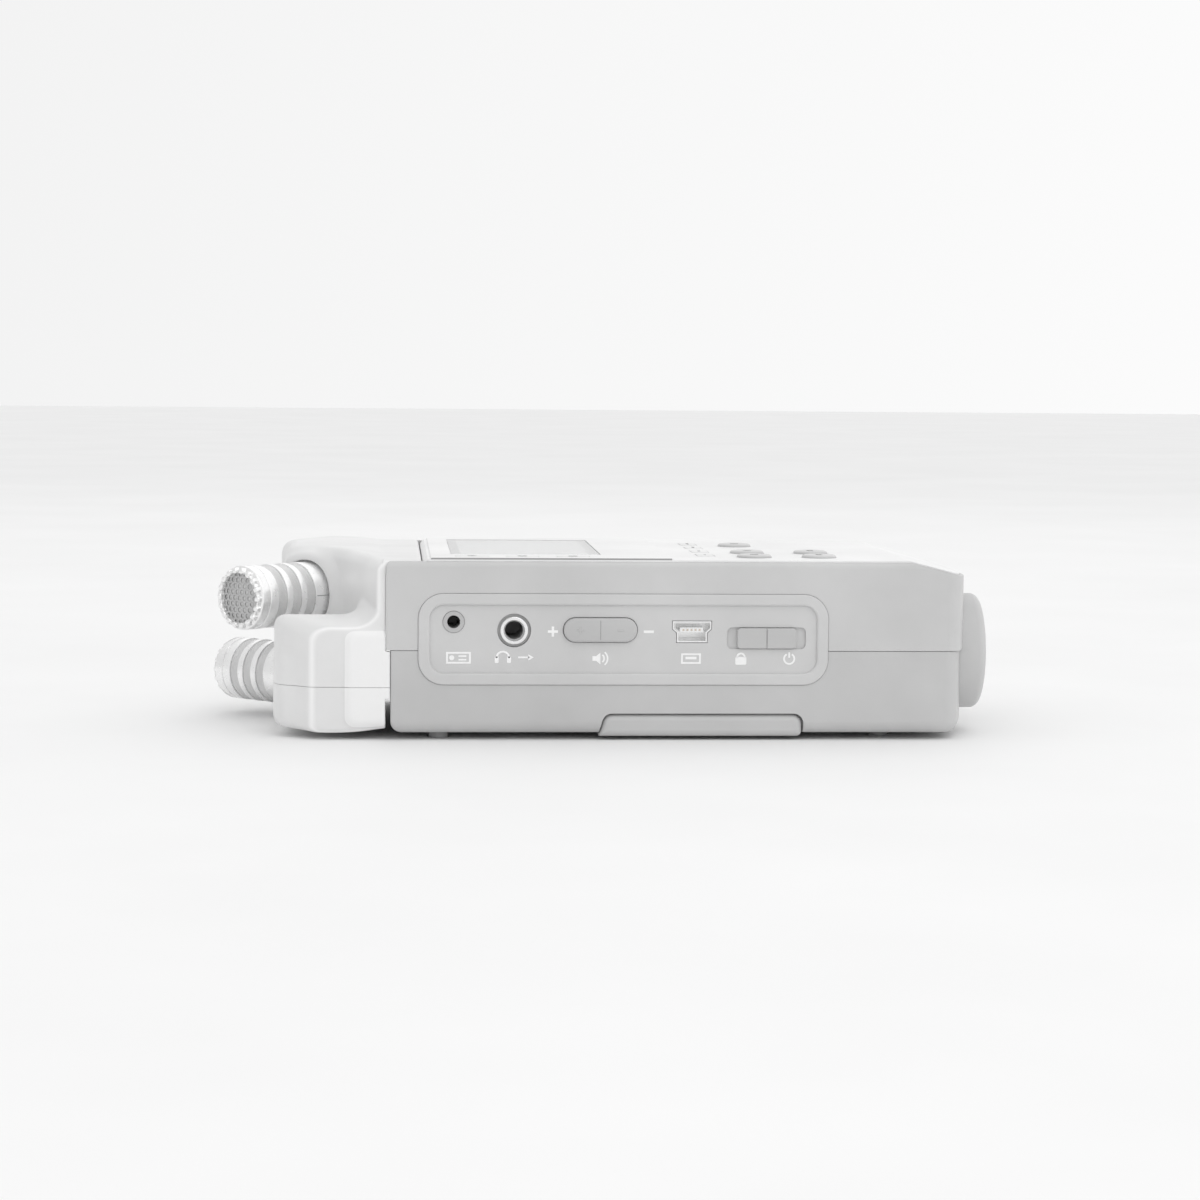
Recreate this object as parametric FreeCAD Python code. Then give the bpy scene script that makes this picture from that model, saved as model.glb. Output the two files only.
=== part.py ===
import FreeCAD, Part
import math
import os

from FreeCAD import Vector

# Portable four-track field recorder lying face up.
# Millimetres. +X points to the input-jack end, -X to the microphones,
# -Y is the side with the headphone jack, +Z is the display side.
# The origin is under the middle of the bounding box, on the table.

# ---- driving dimensions -------------------------------------------------
HALF_WIDTH = 35.0            # case half width
CASE_X0 = -43.9              # microphone end of the upper case
LOWER_STEP = 0.9             # the lower case starts this much later
LOWER_END_STEP = 0.5         # and ends this much earlier
MIC_END_R = 0.4              # corner radius at the microphone end
TOP_CORNER_R = 1.2
CASE_X1 = 69.6               # where the side walls end
END_BULGE = 5.0              # how far the end wall bows out
CASE_BOTTOM = 1.35
CASE_TOP = 35.3
SEAM_Z = 17.7
SEAM_GAP = 0.1
WALL = 2.0
CORNER_R = 3.0
SLOPE_X = 59.6               # the top face slopes down from here
SLOPE_TAN = 0.255
TOP_WALL_Z = 33.9            # outside of the case wall under the panel
TOP_WALL = 1.8

PANEL_X0 = -36.6
PANEL_TOP = 35.55
PANEL_T = 1.5
BEZEL_X0 = -35.2
BEZEL_X1 = 12.6
BEZEL_RISE = 0.35
FIT = 0.1                    # gap between parts that sit in each other

# side panels
SIDE_X0 = -37.6
SIDE_X1 = 43.3
SIDE_Z0 = 10.98
SIDE_Z1 = 28.94
SIDE_R = 5.0
SIDE_LIP_Y = 35.35
SIDE_FACE_Y = 34.75
SIDE_BACK_Y = 32.6
LIP_W = 2.3
LIP_EDGE_R = 0.5
ROCKER_GAP = 0.12

REMOTE_JACK = (-30.67, 23.36)
PHONE_JACK = (-18.8, 21.7)
REMOTE_R = 1.28
PHONE_R = 1.8
PHONE_HOLE_R = 3.3
PHONE_RING_R = 2.75
PHONE_RING_BORE = 2.1
PHONE_RING_Y = (-35.2, -34.1)
ROCKER_X = (-9.1, 5.42)
ROCKER_Z = (19.45, 24.2)
USB_X = (12.4, 20.1)
USB_Z = (19.4, 23.6)
USB_STEP = 0.85
SLIDE_SLOT_X = (23.24, 38.85)
SLIDE_FLOOR_Y = -34.2
SLIDE_STEM_X = (29.0, 33.0)
SLIDE_SLOT_Z = (18.1, 22.4)
SLIDE_KNOB_X = (25.2, 36.9)
LEVEL_X = (-31.5, -16.5)
WHEEL_AT = (-4.0, 29.6, 21.4)
WHEEL_R = 6.8
WHEEL_T = 5.2
MENU_KEY_AT = (9.2, 21.4)
MENU_KEY_R = 2.9
SD_DOOR_X = (15.4, 41.2)
SD_DOOR_Z = (17.8, 24.2)

# front keys
KEY_R = 3.45
KEY_TOP = 36.2
KEY_GAP = 0.15
KEY_LOW = 32.9
MAT_TOP = 32.3
TRANSPORT = {
    "stop_key": (29.8, -23.2),
    "play_key": (29.8, -10.4),
    "record_key": (29.8, 12.4),
    "rewind_key": (42.9, -23.2),
    "forward_key": (42.9, -10.4),
}
TRACK_X = 20.4
TRACK_YS = (-18.0, -6.0, 6.0, 18.0)
TRACK_SIZE = (3.4, 7.6)
TRACK_RISE = 0.15
INPUT_Y = -28.6
INPUT_XS = (-27.0, -17.0, -7.0)
INPUT_NAMES = ("mic_input_key", "input_1_key", "input_2_key")
INPUT_SIZE = (6.4, 3.2)
INPUT_RISE = 0.45

# display
WINDOW_X = (-31.0, -1.0)
WINDOW_Y = (-22.5, 26.5)

# input jacks
COLLAR_YS = {"input_1": -17.0, "input_2": 17.0}
COLLAR_Z = 16.3
COLLAR_R = 11.65
COLLAR_BORE = 9.7
COLLAR_X0 = 60.0
COLLAR_X1 = 76.45
COLLAR_RIM_R = 1.6
CORE_R = 7.85
CORE_X1 = 75.0
PLUG_R = 3.2
PIN_HOLE_R = 1.1
PIN_CIRCLE_R = 5.7

# battery bay and its cover
BATTERY_R = 7.2
BATTERY_L = 50.4
BATTERY_XS = (15.6, 30.5)
BATTERY_Z = 10.0
BAY_X = (7.9, 38.2)
BAY_Y = 29.6
BAY_TOP = 17.5
BAY_WALL = 1.1
COVER_X1 = 38.3
COVER_BOTTOM = 0.75
COVER_T = 1.5
COVER_WRAP_Z = 5.1
COVER_WRAP_T = 1.6
COVER_GAP = 0.2
COVER_SIDE_GAP = 0.3
COVER_CORNER_R = 2.0
COVER_SLANT = 0.2529          # lean of the cover's free end, per mm of height
COVER_FOOT_X = -1.9          # free end of the cover at its lowest
HINGE_X = 37.0
HINGE_Z = COVER_BOTTOM + 1.1
HINGE_PIN_R = 0.6
HINGE_LUG_R = 1.1
HINGE_LUGS = ((-32.9, -31.0), (-24.8, -23.0), (23.0, 24.8), (31.0, 32.9))
HINGE_PINS = ((-32.9, -23.0), (23.0, 32.9))
INSERT_AT = (-0.7, 0.0)
INSERT_R = 4.8
INSERT_BORE = 3.175
INSERT_Z = (1.0, 8.5)
BOSS_R = 6.4

# microphones
MIC_R = 6.5
MIC_LENGTH = 20.1
CROWN_LENGTH = 3.4
CROWN_R = 6.5
CROWN_TIP_R = 6.2
CROWN_BEVEL = 0.6
CROWN_TEETH = 18
MESH_R = 4.9
BANDS = ((5.7, 8.05), (9.6, 11.95), (13.5, 15.85))
BAND_DEPTH = 0.2
BARREL_BORE = 11.0
CAPSULE_R = 5.2
CAPSULE_AT = (3.6, 9.6)      # from the front
TURN_DEG = 52.5              # turn axis, measured from the long axis
REST_DEG = 45.0              # capsule direction at rest
UPPER_FRONT = Vector(-73.85, -15.75, 26.4)
LOWER_FRONT = Vector(-76.0, 16.96, 9.2)
SWIVEL_R = 4.0
SOCKET_R = 7.15
SOCKET_DEPTH = 1.5

# microphone housing
LOBE_X = -66.0
LOBE_Y = 34.6
LOBE_INNER_Y = 23.6
LOBE_LOW = 0.5
NEAR_LOBE_TOP = 24.7
SLEEVE_TOP = 17.5
HOUSING_TOP = 36.2
FAR_LOBE_LOW = 11.7
FAR_SLEEVE_LOW = 18.7
HOUSING_SEAM_Z = 10.4
HOUSING_BACK = -44.0
HOUSING_BOTTOM = ((-70, 5.0), (-64.5, 2.6), (-59.9, 1.5), (-55.5, 1.0), (-40, 2.77))
TONGUE_Y = 34.1
TONGUE_Z = (32.5, 35.5)
PAD_Y = 35.05
PAD_TAB_X = -43.1            # the near pad reaches past the upper case's edge
PAD_TAB_Z = (8.2, 17.55)

FOOT_R = 1.95
FEET = ((-33.5, -29.0), (-33.5, 29.0), (55.0, -26.0), (55.0, 26.0))
CASE_SCREWS = ((-24.0, -28.0), (-24.0, 28.0), (47.5, -28.0), (47.5, 28.0))
HOUSING_SCREWS = ((-49.5, -28.0), (-47.3, 12.0))
SPEAKER_AT = (-25.0, 0.0)
SPEAKER_R = 8.0
EXT_MIC_AT = (-12.0, 20.0)
STAMINA_AT = (-13.0, -20.0)
BOARD_Z = (27.9, 29.4)

Z_UP = Vector(0, 0, 1)
CENTRING = Vector(1.95, 0, 0)   # brings the middle of the bounding box over the origin
parts = {}


# ---- helpers ------------------------------------------------------------
def box(x0, x1, y0, y1, z0, z1):
    return Part.makeBox(x1 - x0, y1 - y0, z1 - z0, Vector(x0, y0, z0))


def rod(at, direction, radius, length):
    return Part.makeCylinder(radius, length, Vector(*at), Vector(*direction))


def prism(points, z0, z1):
    wire = Part.makePolygon([Vector(x, y, z0) for x, y in points] + [Vector(*points[0], z0)])
    return Part.Face(wire).extrude(Vector(0, 0, z1 - z0))


def fuse(*shapes):
    result = shapes[0].multiFuse(list(shapes[1:]))
    return result.removeSplitter()


def cut(shape, *tools):
    return shape.cut(list(tools)) if len(tools) > 1 else shape.cut(tools[0])


def edges_where(shape, test):
    return [edge for edge in shape.Edges if test(edge)]


def soften(shape, radius, test):
    """Round the edges that pass the test, or leave the shape if that fails."""
    edges = edges_where(shape, test)
    if not edges:
        return shape
    try:
        rounded = shape.makeFillet(radius, edges)
        return rounded if rounded.isValid() else shape
    except Part.OCCError:
        return shape


def upright(edge):
    ends = [vertex.Point for vertex in edge.Vertexes]
    return len(ends) == 2 and (ends[0] - ends[1]).cross(Z_UP).Length < 1e-4


def flat_at(z, tolerance=0.01):
    return lambda edge: abs(edge.BoundBox.ZMin - z) < tolerance and abs(edge.BoundBox.ZMax - z) < tolerance


def rounded_slab(x0, x1, z0, z1, y0, y1, radius):
    """A plate standing in the XZ plane with rounded corners, from y0 to y1."""
    slab = box(x0, x1, y0, y1, z0, z1)
    along_y = [e for e in slab.Edges if abs(e.BoundBox.YLength - (y1 - y0)) < 1e-3]
    return slab.makeFillet(radius, along_y)


def rounded_pad(x_mid, y_mid, size_x, size_y, z0, z1, radius):
    pad = box(x_mid - size_x / 2, x_mid + size_x / 2, y_mid - size_y / 2, y_mid + size_y / 2, z0, z1)
    return pad.makeFillet(radius, edges_where(pad, upright))


def case_plan(inset, x0, z0, z1):
    """The case outline, drawn in by an inset, between two heights."""
    y = HALF_WIDTH - inset
    x1 = CASE_X1 - inset
    tip = CASE_X1 + END_BULGE - inset
    corners = [Vector(x0, -y, z0), Vector(x1, -y, z0), Vector(x1, y, z0), Vector(x0, y, z0)]
    end = Part.Arc(corners[1], Vector(tip, 0, z0), corners[2]).toShape()
    edges = [
        Part.makeLine(corners[0], corners[1]),
        end,
        Part.makeLine(corners[2], corners[3]),
        Part.makeLine(corners[3], corners[0]),
    ]
    solid = Part.Face(Part.Wire(edges)).extrude(Vector(0, 0, z1 - z0))
    far_corners = edges_where(solid, lambda e: upright(e) and e.BoundBox.XMin > 0)
    solid = solid.makeFillet(max(CORNER_R - inset, 0.8), far_corners)
    near_corners = edges_where(solid, lambda e: upright(e) and e.BoundBox.XMax < x0 + 0.01)
    return solid.makeFillet(MIC_END_R, near_corners)


def above_slope(z_flat):
    """Everything above the top face, which is flat and then slopes down."""
    run = 30.0
    profile = [
        Vector(CASE_X0 - 50, 0, z_flat),
        Vector(SLOPE_X, 0, z_flat),
        Vector(SLOPE_X + run, 0, z_flat - run * SLOPE_TAN),
        Vector(SLOPE_X + run, 0, z_flat + 60),
        Vector(CASE_X0 - 50, 0, z_flat + 60),
    ]
    face = Part.Face(Part.makePolygon(profile + [profile[0]]))
    return face.extrude(Vector(0, 200, 0)).translated(Vector(0, -100, 0))


# ---- case ---------------------------------------------------------------
def case_block(inset, x0, z0, z1, z_flat):
    return case_plan(inset, x0, z0, z1).cut(above_slope(z_flat))


def side_opening(sign, grow):
    y0, y1 = sorted((sign * 31.0, sign * 37.0))
    return rounded_slab(SIDE_X0 - grow, SIDE_X1 + grow, SIDE_Z0 - grow, SIDE_Z1 + grow, y0, y1, SIDE_R + grow)


def collar_holes(radius):
    return [rod((58.0, y, COLLAR_Z), (1, 0, 0), radius, 25.0) for y in COLLAR_YS.values()]


def upper_case():
    outer = case_block(0.0, CASE_X0, SEAM_Z + SEAM_GAP / 2, CASE_TOP + 1, CASE_TOP)
    outer = soften(outer, TOP_CORNER_R, lambda e: e.BoundBox.ZMin > 29 and e.BoundBox.XMax < CASE_X0 + 0.01)
    outer = soften(outer, TOP_CORNER_R, lambda e: e.BoundBox.ZMin > 29 and e.BoundBox.XMin > CASE_X1 - 4)
    outer = soften(outer, 0.6, lambda e: e.BoundBox.ZMin > 29 and e.BoundBox.XLength > 5
                   and abs(e.BoundBox.YMin) > 30)
    panel_well = case_block(0.75, PANEL_X0 - FIT, 20, 50, 60)
    panel_well = panel_well.common(above_slope(TOP_WALL_Z))
    cavity = case_block(WALL, CASE_X0 + WALL, 10, 50, TOP_WALL_Z - TOP_WALL)
    tongue_y = TONGUE_Y + FIT
    tongue = box(CASE_X0 - 1, PANEL_X0 - FIT / 2, -tongue_y, tongue_y, TONGUE_Z[0] - 0.2, 60)
    wire_way = box(CASE_X0 - 1, CASE_X0 + 3, -12, 12, 19, 27)
    shell = cut(outer, panel_well, cavity, tongue, wire_way)
    display_hole = box(WINDOW_X[0] - 2, WINDOW_X[1] + 2, WINDOW_Y[0] - 1.5, WINDOW_Y[1] + 2, 30, 36)
    key_hole = box(9.0, 50.5, -27.4, 24.5, 30, 36)
    input_hole = box(INPUT_XS[0] - 4.6, 9.5, INPUT_Y - 2.9, -23.8, 30, 36)
    dc_hole = rod((64.0, 0, 22.0), (1, 0, 0), 3.2, 15.0)
    shell = cut(shell, display_hole, key_hole, input_hole, dc_hole, *collar_holes(COLLAR_R + 0.08))
    return cut(shell, side_opening(-1, FIT / 2), side_opening(1, FIT / 2))


def lower_case_floor_holes():
    holes = []
    for row in range(-3, 4):
        for column in range(-3, 4):
            if row * row + column * column < 12:
                x = SPEAKER_AT[0] + 2.2 * column
                holes.append(rod((x, SPEAKER_AT[1] + 2.2 * row, 0), (0, 0, 1), 0.6, 6))
    holes.append(rod((*EXT_MIC_AT, 0), (0, 0, 1), 3.05, 6))
    x, y = STAMINA_AT
    holes.append(box(x - 2.7, x + 2.7, y - 1.3, y + 1.3, 0, 6))
    return holes


def lower_case_bosses(screw_x_y):
    return [rod((x, y, CASE_BOTTOM + 1), (0, 0, 1), 3.3, SEAM_Z - CASE_BOTTOM - 2) for x, y in screw_x_y]


def cover_end_x(z):
    """Where the free end of the battery cover is at a height."""
    return COVER_FOOT_X + (z - COVER_BOTTOM) * COVER_SLANT


def cover_recess():
    """The space that the battery cover fills, with its gap."""
    low, high = -2.0, COVER_WRAP_Z + COVER_GAP
    profile = [
        Vector(cover_end_x(low) - COVER_GAP, 0, low),
        Vector(cover_end_x(high) - COVER_GAP, 0, high),
        Vector(COVER_X1 + COVER_SIDE_GAP, 0, high),
        Vector(COVER_X1 + COVER_SIDE_GAP, 0, low),
    ]
    face = Part.Face(Part.makePolygon(profile + [profile[0]]))
    block = face.extrude(Vector(0, 100, 0)).translated(Vector(0, -50, 0))
    block = soften(block, COVER_CORNER_R, lambda e: e.BoundBox.YLength > 60 and e.BoundBox.ZMin > 4)
    inner_y = HALF_WIDTH - COVER_WRAP_T - COVER_SIDE_GAP
    keep = box(-10, 60, -inner_y, inner_y, COVER_BOTTOM + COVER_T + COVER_SIDE_GAP, 20)
    return block.cut(keep)


def hinge_lugs():
    lugs = []
    x0 = HINGE_X - HINGE_LUG_R
    over_cover = COVER_BOTTOM + COVER_T + COVER_SIDE_GAP
    for y0, y1 in HINGE_LUGS:
        eye = rod((HINGE_X, y0, HINGE_Z), (0, 1, 0), HINGE_LUG_R, y1 - y0)
        web = box(x0, HINGE_X + HINGE_LUG_R, y0, y1, HINGE_Z, HINGE_Z + 2.3)
        root = box(x0, HINGE_X + 2.6, y0, y1, over_cover, HINGE_Z + 2.3)
        lugs.append(fuse(eye, web, root))
    return lugs


def lower_case():
    x0 = CASE_X0 + LOWER_STEP
    outer = case_block(0.0, x0, CASE_BOTTOM, SEAM_Z - SEAM_GAP / 2, CASE_TOP)
    outer = outer.common(outer.translated(Vector(-LOWER_END_STEP, 0, 0)).fuse(box(x0, 0, -40, 40, 0, 40)))
    outer = soften(outer, 2.4, flat_at(CASE_BOTTOM))
    cavity = case_block(WALL, x0 + WALL, CASE_BOTTOM + WALL, 40, 60)
    shell = outer.cut(cavity)
    bay = box(BAY_X[0] - BAY_WALL, BAY_X[1] + BAY_WALL, -BAY_Y - BAY_WALL, BAY_Y + BAY_WALL,
              CASE_BOTTOM + 0.5, BAY_TOP + BAY_WALL)
    insert_boss = rod((*INSERT_AT, CASE_BOTTOM - 0.2), (0, 0, 1), BOSS_R, 7.4)
    shell = fuse(shell, bay, insert_boss, *lower_case_bosses(CASE_SCREWS))
    shell = shell.cut(box(*BAY_X, -BAY_Y, BAY_Y, -1, BAY_TOP))
    ring = rod((*INSERT_AT, 0), (0, 0, 1), BOSS_R, 7)
    shell = shell.cut(cover_recess().cut(ring))
    shell = cut(shell, *lower_case_floor_holes())
    shell = shell.cut(rod((*INSERT_AT, 0), (0, 0, 1), INSERT_R, 12))
    for x, y in CASE_SCREWS:
        shell = cut(shell, rod((x, y, 0), (0, 0, 1), 2.75, 4.0), rod((x, y, 0), (0, 0, 1), 1.2, 14.0))
    for x, y in FEET:
        shell = shell.cut(rod((x, y, 0), (0, 0, 1), FOOT_R + 0.02, CASE_BOTTOM + 0.6))
    swing_room = rod((HINGE_X, -33.1, HINGE_Z), (0, 1, 0), 1.75, 66.2)
    pin_holes = [rod((HINGE_X, y0, HINGE_Z), (0, 1, 0), HINGE_PIN_R, y1 - y0) for y0, y1 in HINGE_PINS]
    strap_pocket = box(67.5, 80, -4.3, 4.3, 3.9, 11.1)
    bar_hole = rod((72.2, -6.5, 7.5), (0, 1, 0), 1.0, 13.0)
    strap_block = box(66.0, 71.5, -7.5, 7.5, 2.0, 13.0)
    shell = cut(shell, swing_room)
    shell = fuse(shell, strap_block, *hinge_lugs())
    shell = cut(shell, strap_pocket, bar_hole, *pin_holes, *collar_holes(COLLAR_R + 0.08))
    return cut(shell, side_opening(-1, FIT / 2), side_opening(1, FIT / 2))


# ---- front panel, display and keys --------------------------------------
def key_outlines(grow):
    """The holes or caps of every front key, as (name, solid maker) pairs."""
    outlines = []
    for name, (x, y) in TRANSPORT.items():
        outlines.append((name, lambda z0, z1, x=x, y=y: rod((x, y, z0), (0, 0, 1), KEY_R + grow, z1 - z0)))
    for number, y in enumerate(TRACK_YS, start=1):
        outlines.append((f"track_{number}_key", lambda z0, z1, y=y: rounded_pad(
            TRACK_X, y, TRACK_SIZE[0] + 2 * grow, TRACK_SIZE[1] + 2 * grow, z0, z1, 1.2)))
    for name, x in zip(INPUT_NAMES, INPUT_XS):
        outlines.append((name, lambda z0, z1, x=x: rounded_pad(
            x, INPUT_Y, INPUT_SIZE[0] + 2 * grow, INPUT_SIZE[1] + 2 * grow, z0, z1, 1.2)))
    return outlines


def seam_groove():
    """The V between the front panel and the microphone housing."""
    mid = PANEL_X0 - FIT / 2
    top = PANEL_TOP + 1.0
    profile = [Vector(mid - 1.7, -50, top), Vector(mid, -50, 34.5), Vector(mid + 1.7, -50, top)]
    return Part.Face(Part.makePolygon(profile + [profile[0]])).extrude(Vector(0, 100, 0))


def front_panel():
    plate = case_block(0.85, PANEL_X0, 20, 50, PANEL_TOP)
    plate = plate.common(above_slope(PANEL_TOP - PANEL_T))
    bezel = case_plan(0.85, BEZEL_X0, PANEL_TOP - 0.2, PANEL_TOP + BEZEL_RISE)
    bezel = bezel.common(box(BEZEL_X0, BEZEL_X1, -40, 40, 30, 40))
    bezel = soften(bezel, 0.25, flat_at(PANEL_TOP + BEZEL_RISE))
    plate = fuse(plate, bezel)
    holes = [make(30, 40) for _, make in key_outlines(KEY_GAP)]
    window_seat = box(*WINDOW_X, *WINDOW_Y, PANEL_TOP - 0.6, 40)
    sight = box(WINDOW_X[0] + 2, WINDOW_X[1] - 2, WINDOW_Y[0] + 2, WINDOW_Y[1] - 2, 30, 40)
    return cut(plate, window_seat, sight, seam_groove(), *holes)


def display_window():
    gap = FIT / 2
    pane = box(WINDOW_X[0] + gap, WINDOW_X[1] - gap, WINDOW_Y[0] + gap, WINDOW_Y[1] - gap,
               PANEL_TOP - 0.6, PANEL_TOP + BEZEL_RISE - 0.05)
    return pane.makeFillet(0.15, edges_where(pane, flat_at(PANEL_TOP + BEZEL_RISE - 0.05)))


def display_module():
    frame = box(WINDOW_X[0] - 1.5, WINDOW_X[1] + 1.5, WINDOW_Y[0] - 1.0, WINDOW_Y[1] + 1.5, 30.2, 33.0)
    glass = box(WINDOW_X[0] + 1, WINDOW_X[1] - 1, WINDOW_Y[0] + 1, WINDOW_Y[1] - 1, 32.9, 33.9)
    return fuse(frame, glass)


def front_key(name, make):
    top = KEY_TOP if name in TRANSPORT else PANEL_TOP + (TRACK_RISE if "track" in name else INPUT_RISE)
    cap = make(KEY_LOW, top)
    return soften(cap, 0.45 if name in TRANSPORT else 0.12, flat_at(top))


def key_mat():
    z0, z1 = MAT_TOP - 1.7, MAT_TOP - 0.9
    main = box(9.4, 50.0, -27.0, 24.0, z0, z1)
    beside_display = box(INPUT_XS[0] - 4, 10, INPUT_Y - 2.5, -24.4, z0, z1)
    sheet = fuse(main, beside_display)
    large = [(2.8, x, y) for x, y in TRANSPORT.values()]
    small = [(1.6, TRACK_X, y) for y in TRACK_YS] + [(1.6, x, INPUT_Y) for x in INPUT_XS]
    domes = [Part.makeCone(r, 1.2, 1.0, Vector(x, y, MAT_TOP - 1.0)) for r, x, y in large + small]
    return fuse(sheet, *domes)


# ---- side panels and their controls -------------------------------------
def stadium(x0, x1, z0, z1, y0, y1):
    return rounded_slab(x0, x1, z0, z1, min(y0, y1), max(y0, y1), (z1 - z0) / 2 - 0.001)


def rocker_hole(x_range, y0, y1):
    x0, x1 = x_range
    z0, z1 = ROCKER_Z
    return stadium(x0 - ROCKER_GAP, x1 + ROCKER_GAP, z0 - ROCKER_GAP, z1 + ROCKER_GAP, y0, y1)


def side_panel(sign):
    y_lip, y_face, y_back = sign * SIDE_LIP_Y, sign * SIDE_FACE_Y, sign * SIDE_BACK_Y
    body = rounded_slab(SIDE_X0, SIDE_X1, SIDE_Z0, SIDE_Z1, min(y_lip, y_back), max(y_lip, y_back), SIDE_R)
    on_lip = lambda e: abs(e.BoundBox.YMin - y_lip) < 1e-3 and e.BoundBox.YLength < 1e-3
    body = soften(body, 0.3, on_lip)
    well = rounded_slab(SIDE_X0 + LIP_W, SIDE_X1 - LIP_W, SIDE_Z0 + LIP_W, SIDE_Z1 - LIP_W,
                        min(y_lip, y_face) - (1 if sign < 0 else 0),
                        max(y_lip, y_face) + (1 if sign > 0 else 0), SIDE_R - LIP_W)
    well_edge = lambda e: on_lip(e) and e.BoundBox.XMin > SIDE_X0 + 1 and e.BoundBox.XMax < SIDE_X1 - 1
    middle = lambda e: e.BoundBox.ZMin > SIDE_Z0 + 1 and e.BoundBox.ZMax < SIDE_Z1 - 1
    return soften(body.cut(well), LIP_EDGE_R, lambda e: well_edge(e) and middle(e))


def usb_block(inset, y0, y1):
    """The mini-B outline, wide above and stepped in below, drawn in by an inset."""
    x0, x1 = USB_X[0] + inset, USB_X[1] - inset
    z0, z1 = USB_Z[0] + inset, USB_Z[1] - inset
    foot = USB_STEP
    upper, lower = USB_Z[1] - 1.55 + inset / 2, USB_Z[1] - 2.3 + inset / 2
    outline = [(x0, z1), (x1, z1), (x1, upper), (x1 - foot, lower), (x1 - foot, z0), (x0 + foot, z0),
               (x0 + foot, lower), (x0, upper)]
    ring = [Vector(x, y0, z) for x, z in outline]
    return Part.Face(Part.makePolygon(ring + [ring[0]])).extrude(Vector(0, y1 - y0, 0))


def left_side_panel():
    panel = side_panel(-1)
    stem_x0, stem_x1 = SLIDE_STEM_X
    slot_z0, slot_z1 = SLIDE_SLOT_Z
    tools = [
        rod((REMOTE_JACK[0], -30, REMOTE_JACK[1]), (0, -1, 0), 2.15, 10),
        rod((PHONE_JACK[0], -30, PHONE_JACK[1]), (0, -1, 0), PHONE_HOLE_R, 10),
        rocker_hole(ROCKER_X, -30, -40),
        usb_block(-0.1, -40, -30),
        rounded_slab(*SLIDE_SLOT_X, slot_z0, slot_z1, -40, SLIDE_FLOOR_Y, 1.0),
        box(stem_x0 - 2.1, stem_x1 + 2.1, -40, -30, slot_z0 + 1.0, slot_z1 - 1.0),
    ]
    return cut(panel, *tools)


def right_side_panel():
    panel = side_panel(1)
    wheel_slot = box(WHEEL_AT[0] - 6.6, WHEEL_AT[0] + 6.6, 30, 40, WHEEL_AT[2] - 2.9, WHEEL_AT[2] + 2.9)
    x0, x1 = SD_DOOR_X
    z0, z1 = SD_DOOR_Z
    door_seat = box(x0 - 0.3, x1 + 0.3, 33.4, 40, z0 - 0.3, z1 + 0.3)
    card_slot = box(x0 + 0.6, x1 - 0.6, 30, 40, 19.4, 22.6)
    door_pins = rod((x0 - 1.0, 34.2, z0 + 0.7), (1, 0, 0), 0.56, x1 - x0 + 2.0)
    tools = [
        rocker_hole(LEVEL_X, 30, 40),
        rod((MENU_KEY_AT[0], 30, MENU_KEY_AT[1]), (0, 1, 0), MENU_KEY_R + 0.15, 10),
        wheel_slot, door_seat, card_slot, door_pins,
    ]
    return cut(panel, *tools)


def rocker(sign, x_range):
    y_out, y_in = sign * 35.75, sign * 31.8
    cap = stadium(*x_range, *ROCKER_Z, y_in, y_out)
    return soften(cap, 0.5, lambda e: abs(e.BoundBox.YMin - y_out) < 1e-3 and e.BoundBox.YLength < 1e-3)


def ring_jack(at, face_y, ring_r, bore_r, body_half, depth):
    x, z = at
    barrel = rod((x, face_y, z), (0, 1, 0), ring_r, -32.4 - face_y)
    body = box(x - body_half, x + body_half, -32.4, -20.7, z - body_half, z + body_half)
    jack = fuse(barrel, body)
    return jack.cut(rod((x, face_y - 1, z), (0, 1, 0), bore_r, depth + 1))


def phone_jack_ring():
    x, z = PHONE_JACK
    y0, y1 = PHONE_RING_Y
    ring = rod((x, y0, z), (0, 1, 0), PHONE_RING_R, y1 - y0)
    ring = ring.makeFillet(0.25, [e for e in ring.Edges if e.Closed and e.BoundBox.YMax < y0 + 0.01])
    return ring.cut(rod((x, -37, z), (0, 1, 0), PHONE_RING_BORE, 5))


def usb_socket():
    """A thin metal shell with a tongue inside."""
    shell = usb_block(0.0, -34.7, -26.0).cut(usb_block(0.3, -36, -27.0))
    x0, x1 = USB_X
    top = USB_Z[1] - 1.3
    tongue = box(x0 + 1.5, x1 - 1.5, -33.8, -26.5, top - 1.0, top)
    return fuse(shell, tongue)


def power_slide():
    z0, z1 = SLIDE_SLOT_Z
    x0, x1 = SLIDE_KNOB_X
    knob = rounded_slab(x0, x1, z0 + 0.12, z1 - 0.12, -35.5, SLIDE_FLOOR_Y - 0.05, 0.7)
    knob = soften(knob, 0.25, lambda e: e.BoundBox.YMax < -35.49)
    groove = box((x0 + x1) / 2 - 0.12, (x0 + x1) / 2 + 0.12, -36, -35.3, z0, z1)
    stem = box(*SLIDE_STEM_X, SLIDE_FLOOR_Y - 0.3, -31.0, z0 + 1.1, z1 - 1.1)
    return fuse(knob.cut(groove), stem)


def menu_wheel():
    x, y, z = WHEEL_AT
    wheel = rod((x, y, z - WHEEL_T / 2), (0, 0, 1), WHEEL_R, WHEEL_T)
    wheel = wheel.makeFillet(0.5, [e for e in wheel.Edges if e.Closed])
    grooves = []
    for i in range(30):
        angle = 2 * math.pi * i / 30
        at = (x + WHEEL_R * math.cos(angle), y + WHEEL_R * math.sin(angle), z - 5)
        grooves.append(rod(at, (0, 0, 1), 0.3, 10))
    wheel = cut(wheel, *grooves)
    return wheel.cut(rod((x, y, z - 5), (0, 0, 1), 1.05, 10))


def wheel_encoder():
    x, y, z = WHEEL_AT
    axle = rod((x, y, z - 3.6), (0, 0, 1), 1.0, 7.4)
    base = box(x - 5, x + 5, y - 7, y + 2.2, z - 5.2, z - 3.4)
    return fuse(axle, base)


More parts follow.
